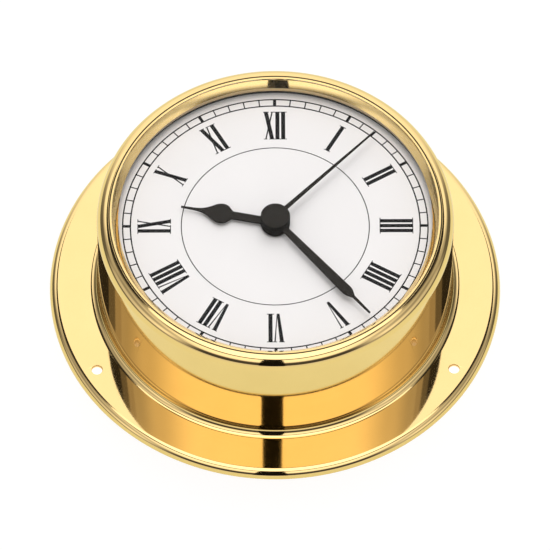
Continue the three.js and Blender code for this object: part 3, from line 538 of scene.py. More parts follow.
def slab(name, low, high, outline, holes=(), edge=0.0):
    """A flat plate between two heights in mm, with holes through it and softened edges."""
    shape = bmesh.new()
    bottom_of = {}
    for loop in (outline, *holes):
        pairs = [[shape.verts.new((x * mm, y * mm, z * mm)) for z in (low, high)] for x, y in loop]
        for (low_a, high_a), (low_b, high_b) in zip(pairs, pairs[1:] + pairs[:1]):
            shape.faces.new((low_a, low_b, high_b, high_a))
        bottom_of.update({top: bottom for bottom, top in pairs})
    brim = [line for line in shape.edges if all(end in bottom_of for end in line.verts)]
    filled = bmesh.ops.triangle_fill(shape, use_beauty=True, use_dissolve=False, edges=brim, normal=(0, 0, 1))
    for face in [item for item in filled["geom"] if isinstance(item, bmesh.types.BMFace)]:
        shape.faces.new([bottom_of[end] for end in reversed(face.verts)])
    held = loose(name, settle(shape, name))
    if edge:
        softener = held.modifiers.new("softened_edges", "BEVEL")
        softener.width = edge * mm
        softener.segments = 2
        softener.limit_method = "ANGLE"
        softener.angle_limit = math.radians(40.0)
    return smooth(grown(held), sharp=50.0)


def shaped(name, operation, mesh, *tools):
    """A solid with others joined to it or cut out of it, as one closed skin."""
    held = loose(name, mesh)
    helpers = [loose(name + "_tool", tool) for tool in tools]
    for helper in helpers:
        step = held.modifiers.new("shaping", "BOOLEAN")
        step.operation = operation
        step.solver = "EXACT"
        step.object = helper
    made = grown(held)
    for helper in helpers:
        bpy.data.objects.remove(helper)
    return smooth(made, sharp=40.0)


cover_plate = slab(
    "movement_cover_plate", cover_low.z, cover_high.z, chamfered(cover_high.x, cover_high.y, cover_corner),
    [box_of((-window_half_width, window_low), (window_half_width, window_high)),
     ring_of(shaft_place, shaft_hole_radius, 32)], cover_edge)
fit("movement_cover_plate", cover_plate, black_plastic, "case", "black_plastic", "movement_cover")


# Setting knob: a white moulded thumb knob, ribbed round its edge, pressed on the setting shaft.
# Turning it sets the hands from the back.
knob_low, knob_high = span("setting_knob")
knob_radius = 6.5
knob_rib_count, knob_rib_radius = 24, 0.4
knob_edge = 0.45
knob_dish_radius, knob_dish_depth = 4.4, 0.4
knob_bore = 1.55
knob_floor = 0.8
knob_body = knob_radius - knob_rib_radius
knob_axis = Matrix.Translation((shaft_place[0] * mm, shaft_place[1] * mm, 0.0))
knob_profile = [
    (0.0, knob_low.z + knob_dish_depth),
    *arc((knob_dish_radius - knob_dish_depth, knob_low.z), knob_dish_depth, 90, 0, 6),
    *corner(knob_body, knob_low.z, knob_edge, outer_bottom, 5),
    *corner(knob_body, knob_high.z, knob_edge, outer_top, 5),
    (knob_bore, knob_high.z),
    (knob_bore, knob_low.z + knob_floor),
    (0.0, knob_low.z + knob_floor),
]
rib_sizes = {
    "Ribs": knob_rib_count, "Rib circle": knob_body * mm, "Rib radius": knob_rib_radius * mm,
    "Rib length": (knob_high.z - knob_low.z - 2 * knob_edge) * mm, "Rib sides": 12,
    "Middle height": (knob_low.z + knob_high.z) / 2 * mm,
    "Shaft x": shaft_place[0] * mm, "Shaft y": shaft_place[1] * mm, "White moulding": white_plastic,
}
tree, given = new_tree("knob_ribs", rib_sizes)
spots = sent(tree, "GeometryNodeMeshCircle", {"Vertices": given["Ribs"], "Radius": given["Rib circle"]})
rib = sent(tree, "GeometryNodeMeshCylinder", {
    "Vertices": given["Rib sides"], "Radius": given["Rib radius"], "Depth": given["Rib length"]})
ribs = sent(tree, "GeometryNodeInstanceOnPoints", {"Points": spots, "Instance": rib})
real_ribs = sent(tree, "GeometryNodeRealizeInstances", {"Geometry": ribs})
ribs_there = moved(tree, real_ribs, "Translation",
                   X=given["Shaft x"], Y=given["Shaft y"], Z=given["Middle height"])
ribbed = place(tree, "GeometryNodeMeshBoolean", operation="UNION", solver="EXACT")
for solid in (given["Geometry"], ribs_there):
    tree.links.new(solid, ribbed.inputs["Mesh 2"])
knob_blank = turned("knob", knob_profile, segments=96, axis=knob_axis)
knob_mesh = smooth(sharp=40.0, mesh=grown_by(
    tree, rib_sizes, ribbed.outputs["Mesh"], "White moulding", "setting_knob_ribbed", knob_blank))
fit("setting_knob_ribbed", knob_mesh, white_plastic, "setting_works", "white_plastic", "setting_knob")
dress(steel, "setting_shaft")


# Carrier: a moulded ring with a plate across its front, which holds the movement and carries the dial.
# It slides into the case from behind and bears on the reflector ring through the dial.
carrier_low, carrier_high = span("movement_carrier")
carrier_wall = 1.5
carrier_plate = 1.5
carrier_edge = 0.3
carrier_clearance = 0.3
passage_radius = 1.1
ear_screw_places = [(-31.0, 6.0), (31.0, 6.0)]
cut_margin = 1.0
carrier_inner = carrier_high.x - carrier_wall
carrier_face = carrier_high.z - carrier_plate
carrier_ring = turned("carrier_ring", [
    (0.0, carrier_face),
    *arc((carrier_inner - carrier_edge, carrier_face - carrier_edge), carrier_edge, 90, 0, 4),
    *corner(carrier_inner, carrier_low.z, carrier_edge, inner_bottom, 4),
    *corner(carrier_high.x, carrier_low.z, carrier_edge, outer_bottom, 4),
    *corner(carrier_high.x, carrier_high.z, carrier_edge, outer_top, 4),
    (0.0, carrier_high.z),
], segments=160)
carrier_span = (carrier_face - cut_margin, carrier_high.z + cut_margin)
carrier_window = chamfered(cover_high.x + carrier_clearance, cover_high.y + carrier_clearance, cover_corner)
passages = [slab("passage", *carrier_span, ring_of(spot, passage_radius, 24)) for spot in ear_screw_places]
carrier_mesh = shaped("movement_carrier_ring", "DIFFERENCE", carrier_ring,
                      slab("carrier_window", *carrier_span, carrier_window), *passages)
fit("movement_carrier_ring", carrier_mesh, black_plastic, "case", "black_plastic", "movement_carrier")


# Movement screws: two pan-headed steel screws with cross slots, driven through the ears into the carrier.
# Their heads are domed, and both stand at the same turn.
screw_low, screw_high = span("movement_screw_right")
screw_head_radius, screw_head_height = 1.9, 1.2
screw_shank_radius = 0.95
screw_dome = 0.7
screw_turn = 0.6
slot_width, slot_length, slot_depth = 0.45, 2.3, 0.6
head_top = screw_low.z + screw_head_height
dome_radius = (screw_head_radius ** 2 + screw_dome ** 2) / (2 * screw_dome)
dome_angle = math.degrees(math.asin(screw_head_radius / dome_radius))
screw_blank = turned("screw", [
    (0.0, screw_low.z),
    *arc((0.0, screw_low.z + dome_radius), dome_radius, 270, 270 + dome_angle, 8)[1:],
    (screw_head_radius, head_top),
    (screw_shank_radius, head_top),
    (screw_shank_radius, screw_high.z - 2 * carrier_edge),
    (screw_shank_radius - carrier_edge, screw_high.z),
    (0.0, screw_high.z),
], segments=48)
slots = [slab("slot", screw_low.z - cut_margin, screw_low.z + slot_depth,
              box_of((-wide / 2, -high / 2), (wide / 2, high / 2)))
         for wide, high in ((slot_width, slot_length), (slot_length, slot_width))]
screw = loose("cross_screw", shaped("cross_screw", "DIFFERENCE", screw_blank, *slots))
screw_spots = bpy.data.meshes.new("screw_spots")
screw_spots.from_pydata([(x * mm, y * mm, 0.0) for x, y in ear_screw_places], [], [])
screw_sizes = {"Screw": screw, "Turn": screw_turn, "Steel": steel}
tree, given = new_tree("ear_screws", screw_sizes)
shape = sent(tree, "GeometryNodeObjectInfo", {"Object": given["Screw"]}, out="Geometry")
driven = sent(tree, "GeometryNodeInstanceOnPoints", {
    "Points": given["Geometry"], "Instance": shape, "Rotation": vector(tree, Z=given["Turn"])})
screws_mesh = grown_by(tree, screw_sizes, driven, "Steel", "movement_screws_pan", screw_spots)
bpy.data.objects.remove(screw)
fit("movement_screws_pan", screws_mesh, steel, "case", "spring_steel", "movement_screw_left",
    "movement_screw_right")


# Battery: a round dry cell in a printed sleeve, with steel ends, lying across the bay.
# A flat contact meets its nub and a bent leaf spring presses on its other end.
battery_low, battery_high = span("battery")
battery_radius = (battery_high.z - battery_low.z) / 2
battery_middle = (battery_low + battery_high) / 2 * mm
nub_radius, nub_length, nub_round = 2.75, 1.0, 0.3
can_round = 0.9
sleeve_wall = 0.12
sleeve_lap = 0.7
band_start, band_end = 14.0, 21.0
band_grey = (0.42, 0.43, 0.44, 1.0)
along_x = Matrix.Translation((0.0, *battery_middle.yz)) @ Matrix.Rotation(math.pi / 2, 4, "Y")
can_radius = battery_radius - sleeve_wall
shoulder = battery_high.x - nub_length
can_profile = [
    (0.0, battery_low.x),
    *corner(can_radius, battery_low.x, can_round, outer_bottom, 5),
    *corner(can_radius, shoulder, can_round, outer_top, 5),
    (nub_radius, shoulder),
    *corner(nub_radius, battery_high.x, nub_round, outer_top, 4),
    (0.0, battery_high.x),
]
fit_turned("battery_can", can_profile, steel, "case", "spring_steel", "battery", segments=64, axis=along_x)
sleeve_low, sleeve_high = battery_low.x + sleeve_lap, shoulder - sleeve_lap
sleeve_inner = can_radius - sleeve_wall / 2
sleeve_profile = [
    (sleeve_inner, sleeve_low),
    *corner(battery_radius, sleeve_low, sleeve_wall, outer_bottom, 3),
    *corner(battery_radius, sleeve_high, sleeve_wall, outer_top, 3),
    (sleeve_inner, sleeve_high),
]


def tinted(tree, share, a, b, way="MIX"):
    """One colour, or another by a share."""
    return sent(tree, "ShaderNodeMix", {"Factor": share, "A": a, "B": b}, data_type="RGBA", blend_type=way)


def printed_sleeve():
    """A dark blue sleeve with one grey band near the nub."""
    material = finish(
        "battery_sleeve", [(0.018, 0.05, 0.11), (0.024, 0.062, 0.13)], 6.0, 0.3, (0.22, 0.34), 0.002)
    tree = material.node_tree
    colour = tree.nodes["Principled BSDF"].inputs["Base Color"]
    spot = sent(tree, "ShaderNodeTexCoord", out="Object")
    x = sent(tree, "ShaderNodeSeparateXYZ", {"Vector": spot}, out="X")
    past_start = calc(tree, "GREATER_THAN", x, band_start * mm)
    band = calc(tree, "MULTIPLY", past_start, calc(tree, "LESS_THAN", x, band_end * mm))
    tree.links.new(tinted(tree, band, colour.links[0].from_socket, band_grey), colour)
    return material


fit_turned("battery_sleeve", sleeve_profile, printed_sleeve(), "case", "battery_jacket", segments=64,
           axis=along_x)
dress(steel, "contact_plus", "contact_minus")


# Dial: a sheet disc sprayed in off-white enamel, lying on the carrier under the reflector ring.
# The hour boss of the movement centres it.
dial_low, dial_high = span("dial_plate")
dial_hole = 3.0
dial_edge = 0.12
dial_white = finish(
    "dial_enamel", [(0.87, 0.84, 0.838), (0.885, 0.856, 0.854)], 14.0, 0.25, (0.42, 0.5), 0.0012)
dial_profile = rounded_band(dial_hole, dial_high.x, dial_low.z, dial_high.z, dial_edge, 3)
fit_turned("dial_disc", dial_profile, dial_white, "case", "dial_white", "dial_plate")


# Minute track and inner circle: black ink printed on the dial in raised lines a few hundredths thick.
# Sixty strokes join two circles, and every fifth stroke is broad.
dial_ink = finish("dial_ink", [(0.006, 0.0056, 0.006), (0.011, 0.0105, 0.011)], 2.0, 0.08, (0.45, 0.6), 0.002,
                  shine=0.15)
ink_sunk, ink_proud = 0.01, 0.015
track_sizes = {
    "Outer circle": 36.88 * mm, "Inner circle": 35.0 * mm, "Numeral circle": 22.7 * mm, "Line": 0.33 * mm,
    "Fine line": 0.23 * mm, "Strokes": 60, "Stroke": 0.29 * mm, "Broad stroke": 0.76 * mm, "Broad every": 5,
    "Ink": (ink_sunk + ink_proud) * mm, "Height": (dial_high.z + (ink_proud - ink_sunk) / 2) * mm,
    "Circle steps": 240, "Black ink": dial_ink,
}
tree, given = new_tree("minute_track", track_sizes)
parts = []
for circle, line in (("Outer circle", "Line"), ("Inner circle", "Line"), ("Numeral circle", "Fine line")):
    path = sent(tree, "GeometryNodeCurvePrimitiveCircle", {
        "Resolution": given["Circle steps"], "Radius": given[circle]})
    section = sent(tree, "GeometryNodeCurvePrimitiveQuadrilateral", {
        "Width": given[line], "Height": given["Ink"]})
    parts.append(sent(tree, "GeometryNodeCurveToMesh", {
        "Curve": path, "Profile Curve": section, "Fill Caps": False}))
both = calc(tree, "ADD", given["Outer circle"], given["Inner circle"])
middle = calc(tree, "MULTIPLY", both, 0.5)
band = calc(tree, "SUBTRACT", given["Outer circle"], given["Inner circle"])
length = calc(tree, "SUBTRACT", band, given["Line"])
spots = sent(tree, "GeometryNodeMeshCircle", {"Vertices": given["Strokes"], "Radius": middle})
outward = sent(tree, "FunctionNodeAlignRotationToVector", {
    "Vector": sent(tree, "GeometryNodeInputPosition")}, axis="X")
step = calc(tree, "MODULO", sent(tree, "GeometryNodeInputIndex"), given["Broad every"])
is_broad = sent(tree, "FunctionNodeCompare", {"A": step, "B": 0.0, "Epsilon": 0.1}, operation="EQUAL")
is_plain = sent(tree, "FunctionNodeBooleanMath", {0: is_broad}, operation="NOT")
for width, picked in (("Stroke", is_plain), ("Broad stroke", is_broad)):
    size = vector(tree, X=length, Y=given[width], Z=given["Ink"])
    parts.append(sent(tree, "GeometryNodeInstanceOnPoints", {
        "Points": spots, "Selection": picked, "Instance": sent(tree, "GeometryNodeMeshCube", {"Size": size}),
        "Rotation": outward}))
track = place(tree, "GeometryNodeJoinGeometry")
for part in parts:
    tree.links.new(part, track.inputs["Geometry"])
lifted = moved(tree, track.outputs["Geometry"], "Translation", Z=given["Height"])
track_mesh = grown_by(tree, track_sizes, lifted, "Black ink", "minute_track_ink")
fit("minute_track_ink", track_mesh, dial_ink, "case", "hand_black")


# Numerals: Roman hours in black ink, with their feet to the centre and four strokes for the fourth.
# Each is set from the same upright, V and X strokes, with thin lines across their ends.
numeral_foot = 25.2
numeral_height = 8.1
serif = 0.2
thick_stroke = 0.98
thin_stroke = 0.33
letter_advance = {"I": 1.4, "V": 2.6, "X": 2.7}
hour_words = ["XII", "I", "II", "III", "IIII", "V", "VI", "VII", "VIII", "IX", "X", "XI"]
v_top_thick, v_top_thin, v_apex = -0.72, 0.92, 0.16
v_toe_share, v_toe_rise, v_meet = 0.98, 0.03, 1.15
x_lean = 0.74
top_serifs = {"I": [(-0.88, 0.88)], "V": [(-1.42, -0.02), (0.45, 1.38)], "X": [(-1.42, -0.05), (0.4, 1.3)]}
foot_serifs = {"I": [(-0.88, 0.88)], "V": [], "X": [(-1.3, -0.4), (0.05, 1.42)]}
foot, head = serif, numeral_height - serif
half_thick, half_thin = thick_stroke / 2, thin_stroke / 2


def ink_mesh(name, outlines):
    """Flat ink shapes of [x, y] corners in mm, as thick as the print."""
    shape = bmesh.new()
    for outline in outlines:
        below, above = ([shape.verts.new((x * mm, y * mm, z * mm)) for x, y in outline]
                        for z in (-ink_sunk, ink_proud))
        shape.faces.new(below[::-1])
        shape.faces.new(above)
        for k in range(len(outline)):
            n = (k + 1) % len(outline)
            shape.faces.new((below[k], below[n], above[n], above[k]))
    mesh = bpy.data.meshes.new(name)
    shape.to_mesh(mesh)
    shape.free()
    return mesh


def v_edge(y):
    """Right edge of the V's thick stroke at a height."""
    return v_apex + thin_stroke + (v_top_thick + half_thick - v_apex - thin_stroke) * y / head


def x_thin(edge, side):
    """Where one edge of the X's thin stroke meets one side of its thick stroke."""
    share = (2 * x_lean + side * half_thick - edge) / (4 * x_lean)
    return (2 * share - 1) * x_lean + edge, foot + share * (head - foot)


def merged(spans, gap=0.12):
    """Serif spans of one numeral, with near neighbours drawn as one line."""
    lines = []
    for start, end in sorted(spans):
        if lines and start - lines[-1][1] < gap:
            lines[-1][1] = max(lines[-1][1], end)
        else:
            lines.append([start, end])
    return lines


upright = box_of((-half_thick, foot), (half_thick, head))
v_thick = [(v_apex - thin_stroke, 0.0), (v_apex + thin_stroke, 0.0),
           (v_top_thick + half_thick, head), (v_top_thick - half_thick, head)]
v_thin = [(v_apex + thin_stroke * v_toe_share, v_toe_rise), (v_top_thin + half_thin, head),
          (v_top_thin - half_thin, head), (v_edge(v_meet), v_meet)]
x_thick = [(x_lean - half_thick, foot), (x_lean + half_thick, foot),
           (-x_lean + half_thick, head), (-x_lean - half_thick, head)]
x_low = [(-x_lean - half_thin, foot), (-x_lean + half_thin, foot), x_thin(half_thin, -1),
         x_thin(-half_thin, -1)]
x_high = [x_thin(half_thin, 1), (x_lean + half_thin, head), (x_lean - half_thin, head), x_thin(-half_thin, 1)]
letter_meshes = {
    "I": ink_mesh("upright_strokes", [upright]),
    "V": ink_mesh("v_strokes", [v_thick, v_thin]),
    "X": ink_mesh("x_strokes", [x_thick, x_low, x_high]),
    "serif": ink_mesh("serif_line", [box_of((-0.5, 0.0), (0.5, serif))]),
}
letter_order = list(letter_meshes)
strokes = []
for hour, word in enumerate(hour_words):
    turn = -2 * math.pi * hour / len(hour_words)
    pen = -sum(letter_advance[letter] for letter in word) / 2
    tops, feet = [], []
    for letter in word:
        x = pen + letter_advance[letter] / 2
        pen += letter_advance[letter]
        strokes.append((turn, x, numeral_foot, letter, 1.0))
        tops += [(x + start, x + end) for start, end in top_serifs[letter]]
        feet += [(x + start, x + end) for start, end in foot_serifs[letter]]
    for spans, height in ((tops, numeral_foot + head), (feet, numeral_foot)):
        for start, end in merged(spans):
            strokes.append((turn, (start + end) / 2, height, "serif", end - start))
spots = bpy.data.meshes.new("numeral_strokes")
spots.from_pydata([Matrix.Rotation(turn, 3, "Z") @ Vector((x * mm, y * mm, dial_high.z * mm))
                   for turn, x, y, _, _ in strokes], [], [])
letters = [loose(mesh.name, mesh) for mesh in letter_meshes.values()]
numeral_sizes = {"Black ink": dial_ink, **{"Stroke " + held.name: held for held in letters}}
tree, given = new_tree("hour_numerals", numeral_sizes)
read = {}
for label, kind, values in (
        ("turn", "FLOAT", [stroke[0] for stroke in strokes]),
        ("letter", "INT", [letter_order.index(stroke[3]) for stroke in strokes]),
        ("stretch", "FLOAT", [stroke[4] for stroke in strokes])):
    spots.attributes.new(label, kind, "POINT").data.foreach_set("value", values)
    read[label] = sent(tree, "GeometryNodeInputNamedAttribute", {"Name": label}, data_type=kind)
aim = vector(tree, Z=read["turn"])
stretch = vector(tree, X=read["stretch"], Y=1.0, Z=1.0)
numerals = place(tree, "GeometryNodeJoinGeometry")
for k, held in enumerate(letters):
    shape = sent(tree, "GeometryNodeObjectInfo", {"Object": given["Stroke " + held.name]}, out="Geometry")
    mine = sent(tree, "FunctionNodeCompare", {2: read["letter"], 3: k}, data_type="INT", operation="EQUAL")
    set_out = sent(tree, "GeometryNodeInstanceOnPoints", {
        "Points": given["Geometry"], "Selection": mine, "Instance": shape, "Rotation": aim, "Scale": stretch})
    tree.links.new(set_out, numerals.inputs["Geometry"])
numeral_mesh = grown_by(
    tree, numeral_sizes, numerals.outputs["Geometry"], "Black ink", "hour_numerals_ink", spots)
for held in letters:
    bpy.data.objects.remove(held)
fit("hour_numerals_ink", numeral_mesh, dial_ink, "case", "hand_black")


# Hands: stamped from thin sheet, riveted to turned collets and sprayed matt black, with a darker black on their
# upright sides as painted shade.
# They are pressed on the pipes one over the other: hours, minutes, then seconds.
hand_shine = 0.02
hand_black = finish("matt_black_lacquer", [(0.021, 0.0185, 0.016), (0.034, 0.03, 0.0265)], 0.4, 0.1, (0.5, 0.7),
                    0.012, shine=hand_shine)
# A darker copy of the hands' black for their upright sides: painted shade where less light falls.
hand_side_shade = finish("hand_edge_black", [(0.003, 0.0026, 0.002), (0.006, 0.005, 0.004)], 0.4, 0.1, (0.5, 0.7),
                    0.004, shine=hand_shine)
hub_radius = 3.55
hub_height = 1.2
hub_round = 0.22
hub_overlap = hub_radius * 0.8
blade_thickness = 0.4
blade_edge = 0.1
edge_steepness = 0.5
shown_hour, shown_minute, second_angle = 9, 23.3233, 44.4
hour_angle, minute_angle = shown_hour * 30 + shown_minute / 2, shown_minute * 6
cannon_bore, hour_bore, arbor_bore = 1.25, 2.05, 0.5
second_cap = 0.35


def through(points, steps):
    """A smooth curve through points, as a row of points along it."""
    padded = [points[0], *points, points[-1]]
    row = []
    for before, a, b, after in zip(padded, padded[1:], padded[2:], padded[3:]):
        for k in range(steps):
            t = k / steps
            row.append(tuple(
                0.5 * (2 * q + (r - p) * t + (2 * p - 5 * q + 4 * r - s) * t ** 2
                       + (3 * q - p - 3 * r + s) * t ** 3)
                for p, q, r, s in zip(before, a, b, after)))
    return [*row, points[-1]]


def hand(name, node, right_side, angle, bore, cap):
    """A blade from [half width, distance] points, riveted to its hub and turned to its place on the dial."""
    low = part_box(node)[0].z / mm
    top = low + hub_height
    blade_low = low + (hub_height - blade_thickness) / 2
    outline = [*right_side, *((-x, y) for x, y in reversed(right_side))]
    blade = slab(name + "_blade", blade_low, blade_low + blade_thickness, outline, edge=blade_edge)
    rim = [*corner(hub_radius, low, hub_round, outer_bottom, 3),
           *corner(hub_radius, top, hub_round, outer_top, 5)]
    if cap:
        profile = [(0.0, top - cap), (bore, top - cap), (bore, low), *rim, (0.0, top)]
    else:
        profile = [(bore, low), *rim, (bore, top)]
    mesh = shaped(name, "UNION", turned(name + "_hub", profile, segments=96), blade)
    mesh.transform(Matrix.Rotation(-math.radians(angle), 4, "Z"))
    return mesh


hour_side = [
    (1.05, hub_overlap),
    *through([(1.05, 10.6), (1.55, 11.1), (2.4, 12.0), (2.75, 13.3), (2.4, 14.7), (1.55, 16.0), (0.85, 17.3),
              (0.45, 18.6), (0.28, 20.2)], 6),
    (0.21, 23.2),
]
minute_side = [(0.81, hub_overlap), (1.3, 26.5), (1.12, 27.4), (0.36, 29.0), (0.235, 35.0)]
second_side = [(0.55, hub_overlap), (0.2, 34.5)]
for node, side, angle, bore, cap, body in (
        ("hour_hand", hour_side, hour_angle, hour_bore, 0.0, "hour_works"),
        ("minute_hand", minute_side, minute_angle, cannon_bore, 0.0, "minute_works"),
        ("second_hand", second_side, second_angle, arbor_bore, second_cap, "second_works")):
    name = node + "_black"
    piece = fit(name, hand(name, node, side, angle, bore, cap), hand_black, body, "hand_black", node)
    # The upright faces take the darker black as painted shade.
    paint(piece, hand_side_shade, lambda face: abs(face.normal.z) < edge_steepness)


# Retaining ring: a split ring of spring steel, snapped into the case behind the carrier.
# It holds the works and the glass forward against the lip.
ring_low, ring_high = span("retaining_ring")
ring_radius, ring_width, ring_gap, ring_edge = 41.7, 1.4, 6.0, 0.25
gap_angle = ring_gap / ring_radius
ring_sizes = {
    "Ring radius": (ring_radius - ring_width / 2) * mm, "Ring width": ring_width * mm,
    "Ring thickness": (ring_high.z - ring_low.z) * mm, "Edge round": ring_edge * mm,
    "Start": -math.pi / 2 + gap_angle / 2, "Sweep": 2 * math.pi - gap_angle,
    "Height": (ring_low.z + ring_high.z) / 2 * mm, "Steps": 181, "Steel": steel,
}
tree, given = new_tree("split_ring", ring_sizes)
bend = sent(tree, "GeometryNodeCurveArc", {
    "Resolution": given["Steps"], "Radius": given["Ring radius"], "Start Angle": given["Start"],
    "Sweep Angle": given["Sweep"]}, mode="RADIUS")
strip = sent(tree, "GeometryNodeCurvePrimitiveQuadrilateral", {
    "Width": given["Ring width"], "Height": given["Ring thickness"]})
rounded = sent(tree, "GeometryNodeFilletCurve", {
    "Curve": strip, "Radius": given["Edge round"], "Count": 3}, mode="POLY")
swept = sent(tree, "GeometryNodeCurveToMesh", {"Curve": bend, "Profile Curve": rounded, "Fill Caps": True})
lifted = moved(tree, swept, "Translation", Z=given["Height"])
split_ring = grown_by(tree, ring_sizes, lifted, "Steel", "retaining_split_ring")
fit("retaining_split_ring", smooth(split_ring, sharp=50.0), steel, "case", "spring_steel", "retaining_ring")


# Stage: a white table top that keeps the clock's shadow, lit by two soft boxes.
# The brass mirrors a pale room with dim sides, a dark strip high in front, flags and the camera stand.
floor_half = 3.0
close_by = 2.0
table_paper = (0.42, 0.415, 0.415, 1.0)
table_white = (1.0, 0.995, 0.998, 1.0)
table_in_brass = (0.8, 0.88, 0.58, 1.0)
brass_in_brass = (0.45, 0.29, 0.105, 1.0)
table_glow, light_under_clock = 0.6, 0.8
under_in_brass, under_to_eye, plain_table = 1.4, 1.6, 0.8
cloth_warmth = (1.0, 0.97, 0.94)
stand_distance, stand_sides, stand_heights, stand_shade = 1.9, (-8.5, 4.8), (7.0, 65.0), 0.008
flags = ((1.7, 114.0, 163.0, 0.4), (1.65, 122.0, 162.0, 0.15), (1.6, 132.0, 160.0, 0.03))
flag_heights = (49.0, 64.0)
soft_boxes = (("overhead_soft_box", 0.8, 0.0, 88.0, 5.2), ("back_soft_box", 0.9, 172.0, 62.0, 1.4))
lamp_distance = 1.6


def grey(shade):
    """A colour without a hue."""
    return (shade, shade, shade, 1.0)


def glowing(tree, colour, strength):
    """A surface that gives light."""
    return sent(tree, "ShaderNodeEmission", {"Color": colour, "Strength": strength})


def white_table():
    """White to the eye, warm in the brass and clear from below, with the clock's shadow kept."""
    material, tree, shader = new_material("white_table")
    tree.nodes.remove(shader)
    path = place(tree, "ShaderNodeLightPath").outputs
    seen = calc(tree, "MAXIMUM", path["Is Camera Ray"], path["Is Glossy Ray"])
    seen = calc(tree, "MAXIMUM", seen, path["Is Transmission Ray"])
    spot = sent(tree, "ShaderNodeTexCoord", out="Object")
    reach = sent(tree, "ShaderNodeVectorMath", {0: spot}, operation="LENGTH")
    hidden = calc(tree, "LESS_THAN", reach, flange_radius * mm)
    close = calc(tree, "LESS_THAN", path["Ray Length"], close_by * mm)
    under = tinted(tree, close, brass_in_brass, grey(under_in_brass))
    under = tinted(tree, path["Is Camera Ray"], under, grey(under_to_eye))
    around = tinted(tree, path["Is Camera Ray"], table_in_brass, table_white)
    paper = sent(tree, "ShaderNodeBsdfDiffuse", {"Color": table_paper})
    glow = glowing(tree, tinted(tree, hidden, around, under), table_glow)
    plain = sent(tree, "ShaderNodeBsdfDiffuse", {"Color": grey(plain_table)})
    lighting = mixed(tree, hidden, plain, glowing(tree, grey(1.0), light_under_clock))
    top = mixed(tree, seen, lighting, sent(tree, "ShaderNodeAddShader", {0: paper, 1: glow}))
    below = sent(tree, "ShaderNodeNewGeometry", out="Backfacing")
    show(tree, mixed(tree, below, top, sent(tree, "ShaderNodeBsdfTransparent")))
    return material


def dark_cloth(name, shade):
    """A dark cloth that looks the same in any light."""
    material, tree, shader = new_material(name)
    tree.nodes.remove(shader)
    show(tree, glowing(tree, (*(shade * part for part in cloth_warmth), 1.0), 1.0))
    return material


def unseen(piece, *ways):
    """Hides a piece from some kinds of rays."""
    for way in ways:
        setattr(piece, "visible_" + way, False)


def card(name, corners, material, mirrored_only=True):
    """A flat stage piece from its corners in metres."""
    mesh = bpy.data.meshes.new(name)
    mesh.from_pydata(corners, [], [(0, 1, 2, 3)])
    mesh.materials.append(material)
    piece = loose(name, mesh)
    if mirrored_only:
        unseen(piece, "camera", "diffuse", "shadow")


def from_clock(azimuth, elevation, distance):
    """A point seen from the clock: azimuth from six o'clock towards three, and height angle, in degrees."""
    azimuth, elevation = math.radians(azimuth), math.radians(elevation)
    level = distance * math.cos(elevation)
    return Vector((level * math.sin(azimuth), -level * math.cos(azimuth), distance * math.sin(elevation)))


def standing_card(name, distance, sides, heights, material):
    """An upright card between two azimuths and two height angles, seen only in mirrors."""
    low, high = heights
    card(name, [from_clock(azimuth, elevation, distance) for azimuth, elevation in (
        (sides[0], low), (sides[1], low), (sides[1], high), (sides[0], high))], material)


card("table_top", [(x * floor_half, y * floor_half, 0) for x, y in ((-1, -1), (1, -1), (1, 1), (-1, 1))],
     white_table(), False)
stand_cloth = dark_cloth("stand_cloth", stand_shade)
standing_card("camera_stand", stand_distance, stand_sides, stand_heights, stand_cloth)
for distance, near_side, far_side, shade in flags:
    flag_cloth = dark_cloth("flag_cloth", shade)
    for side, name in ((-1, "flag_left"), (1, "flag_right")):
        standing_card(name, distance, (side * near_side, side * far_side), flag_heights, flag_cloth)
for name, size, azimuth, elevation, share in soft_boxes:
    lamp = bpy.data.lights.new(name, "AREA")
    lamp.shape = "SQUARE"
    lamp.size = size
    lamp.energy = share * math.pi * size ** 2
    soft_box = loose(name, lamp)
    lamp_spot = from_clock(azimuth, elevation, lamp_distance)
    lamp_turn = lamp_spot.to_track_quat("Z", "Y").to_matrix().to_4x4()
    soft_box.matrix_world = Matrix.Translation(lamp_spot) @ lamp_turn
    unseen(soft_box, "camera", "glossy", "transmission")


# Room: what the brass mirrors, by how far behind the clock it lies (0 ahead, 1 behind) and how high.
# The camera sees plain white, and matt surfaces see an even light.
brightest, zenith, ambient = 1.5, 1.9, 0.52
round_about = [(0.0, 1.42), (0.2, 1.38), (0.5, 0.78), (0.68, 0.5), (0.76, 0.5), (0.9, 1.28), (1.0, 1.34)]
dark_strip = [(0.89, 1.0), (0.905, 0.1), (0.935, 0.1), (0.955, 1.0)]
ahead_dim = [(0.0, 0.6), (0.12, 0.6), (0.19, 0.05), (0.5, 0.05), (0.7, 1.0), *dark_strip]
side_glow = [(0.0, 0.5), (0.03, 0.25), (0.16, 0.25), (0.28, 0.9), (0.48, 0.9), (0.6, 0.5), (0.72, 0.5),
             (0.8, 1.0), *dark_strip]
side_dim = [(0.0, 0.45), (0.04, 0.28), (0.42, 0.28), (0.6, 1.0), (1.0, 1.0)]
far_dim = [(0.0, 0.75), (0.3, 0.9), (1.0, 1.0)]
overhead_span = (0.87, 0.96)
dims_behind = ((side_glow, 0.1, 0.28), (side_dim, 0.58, 0.7), (far_dim, 0.84, 0.97))
world = bpy.data.worlds.new("studio")
bpy.context.scene.world = world
world.use_nodes = True
tree = world.node_tree


def shades(value, stops, full=1.0):
    """A soft run of greys along a value, from [place, brightness] stops."""
    made = place(tree, "ShaderNodeValToRGB", {"Fac": value})
    ramp = made.color_ramp
    ramp.interpolation = "EASE"
    while len(ramp.elements) < len(stops):
        ramp.elements.new(0.5)
    for element, (spot, shade) in zip(ramp.elements, stops):
        element.position = spot
        element.color = grey(shade / full)
    return made.outputs["Color"]


def eased(value, low, high):
    """A value that goes softly from 0 to 1 between two others."""
    return sent(tree, "ShaderNodeMapRange", {"Value": value, "From Min": low, "From Max": high},
                interpolation_type="SMOOTHSTEP")


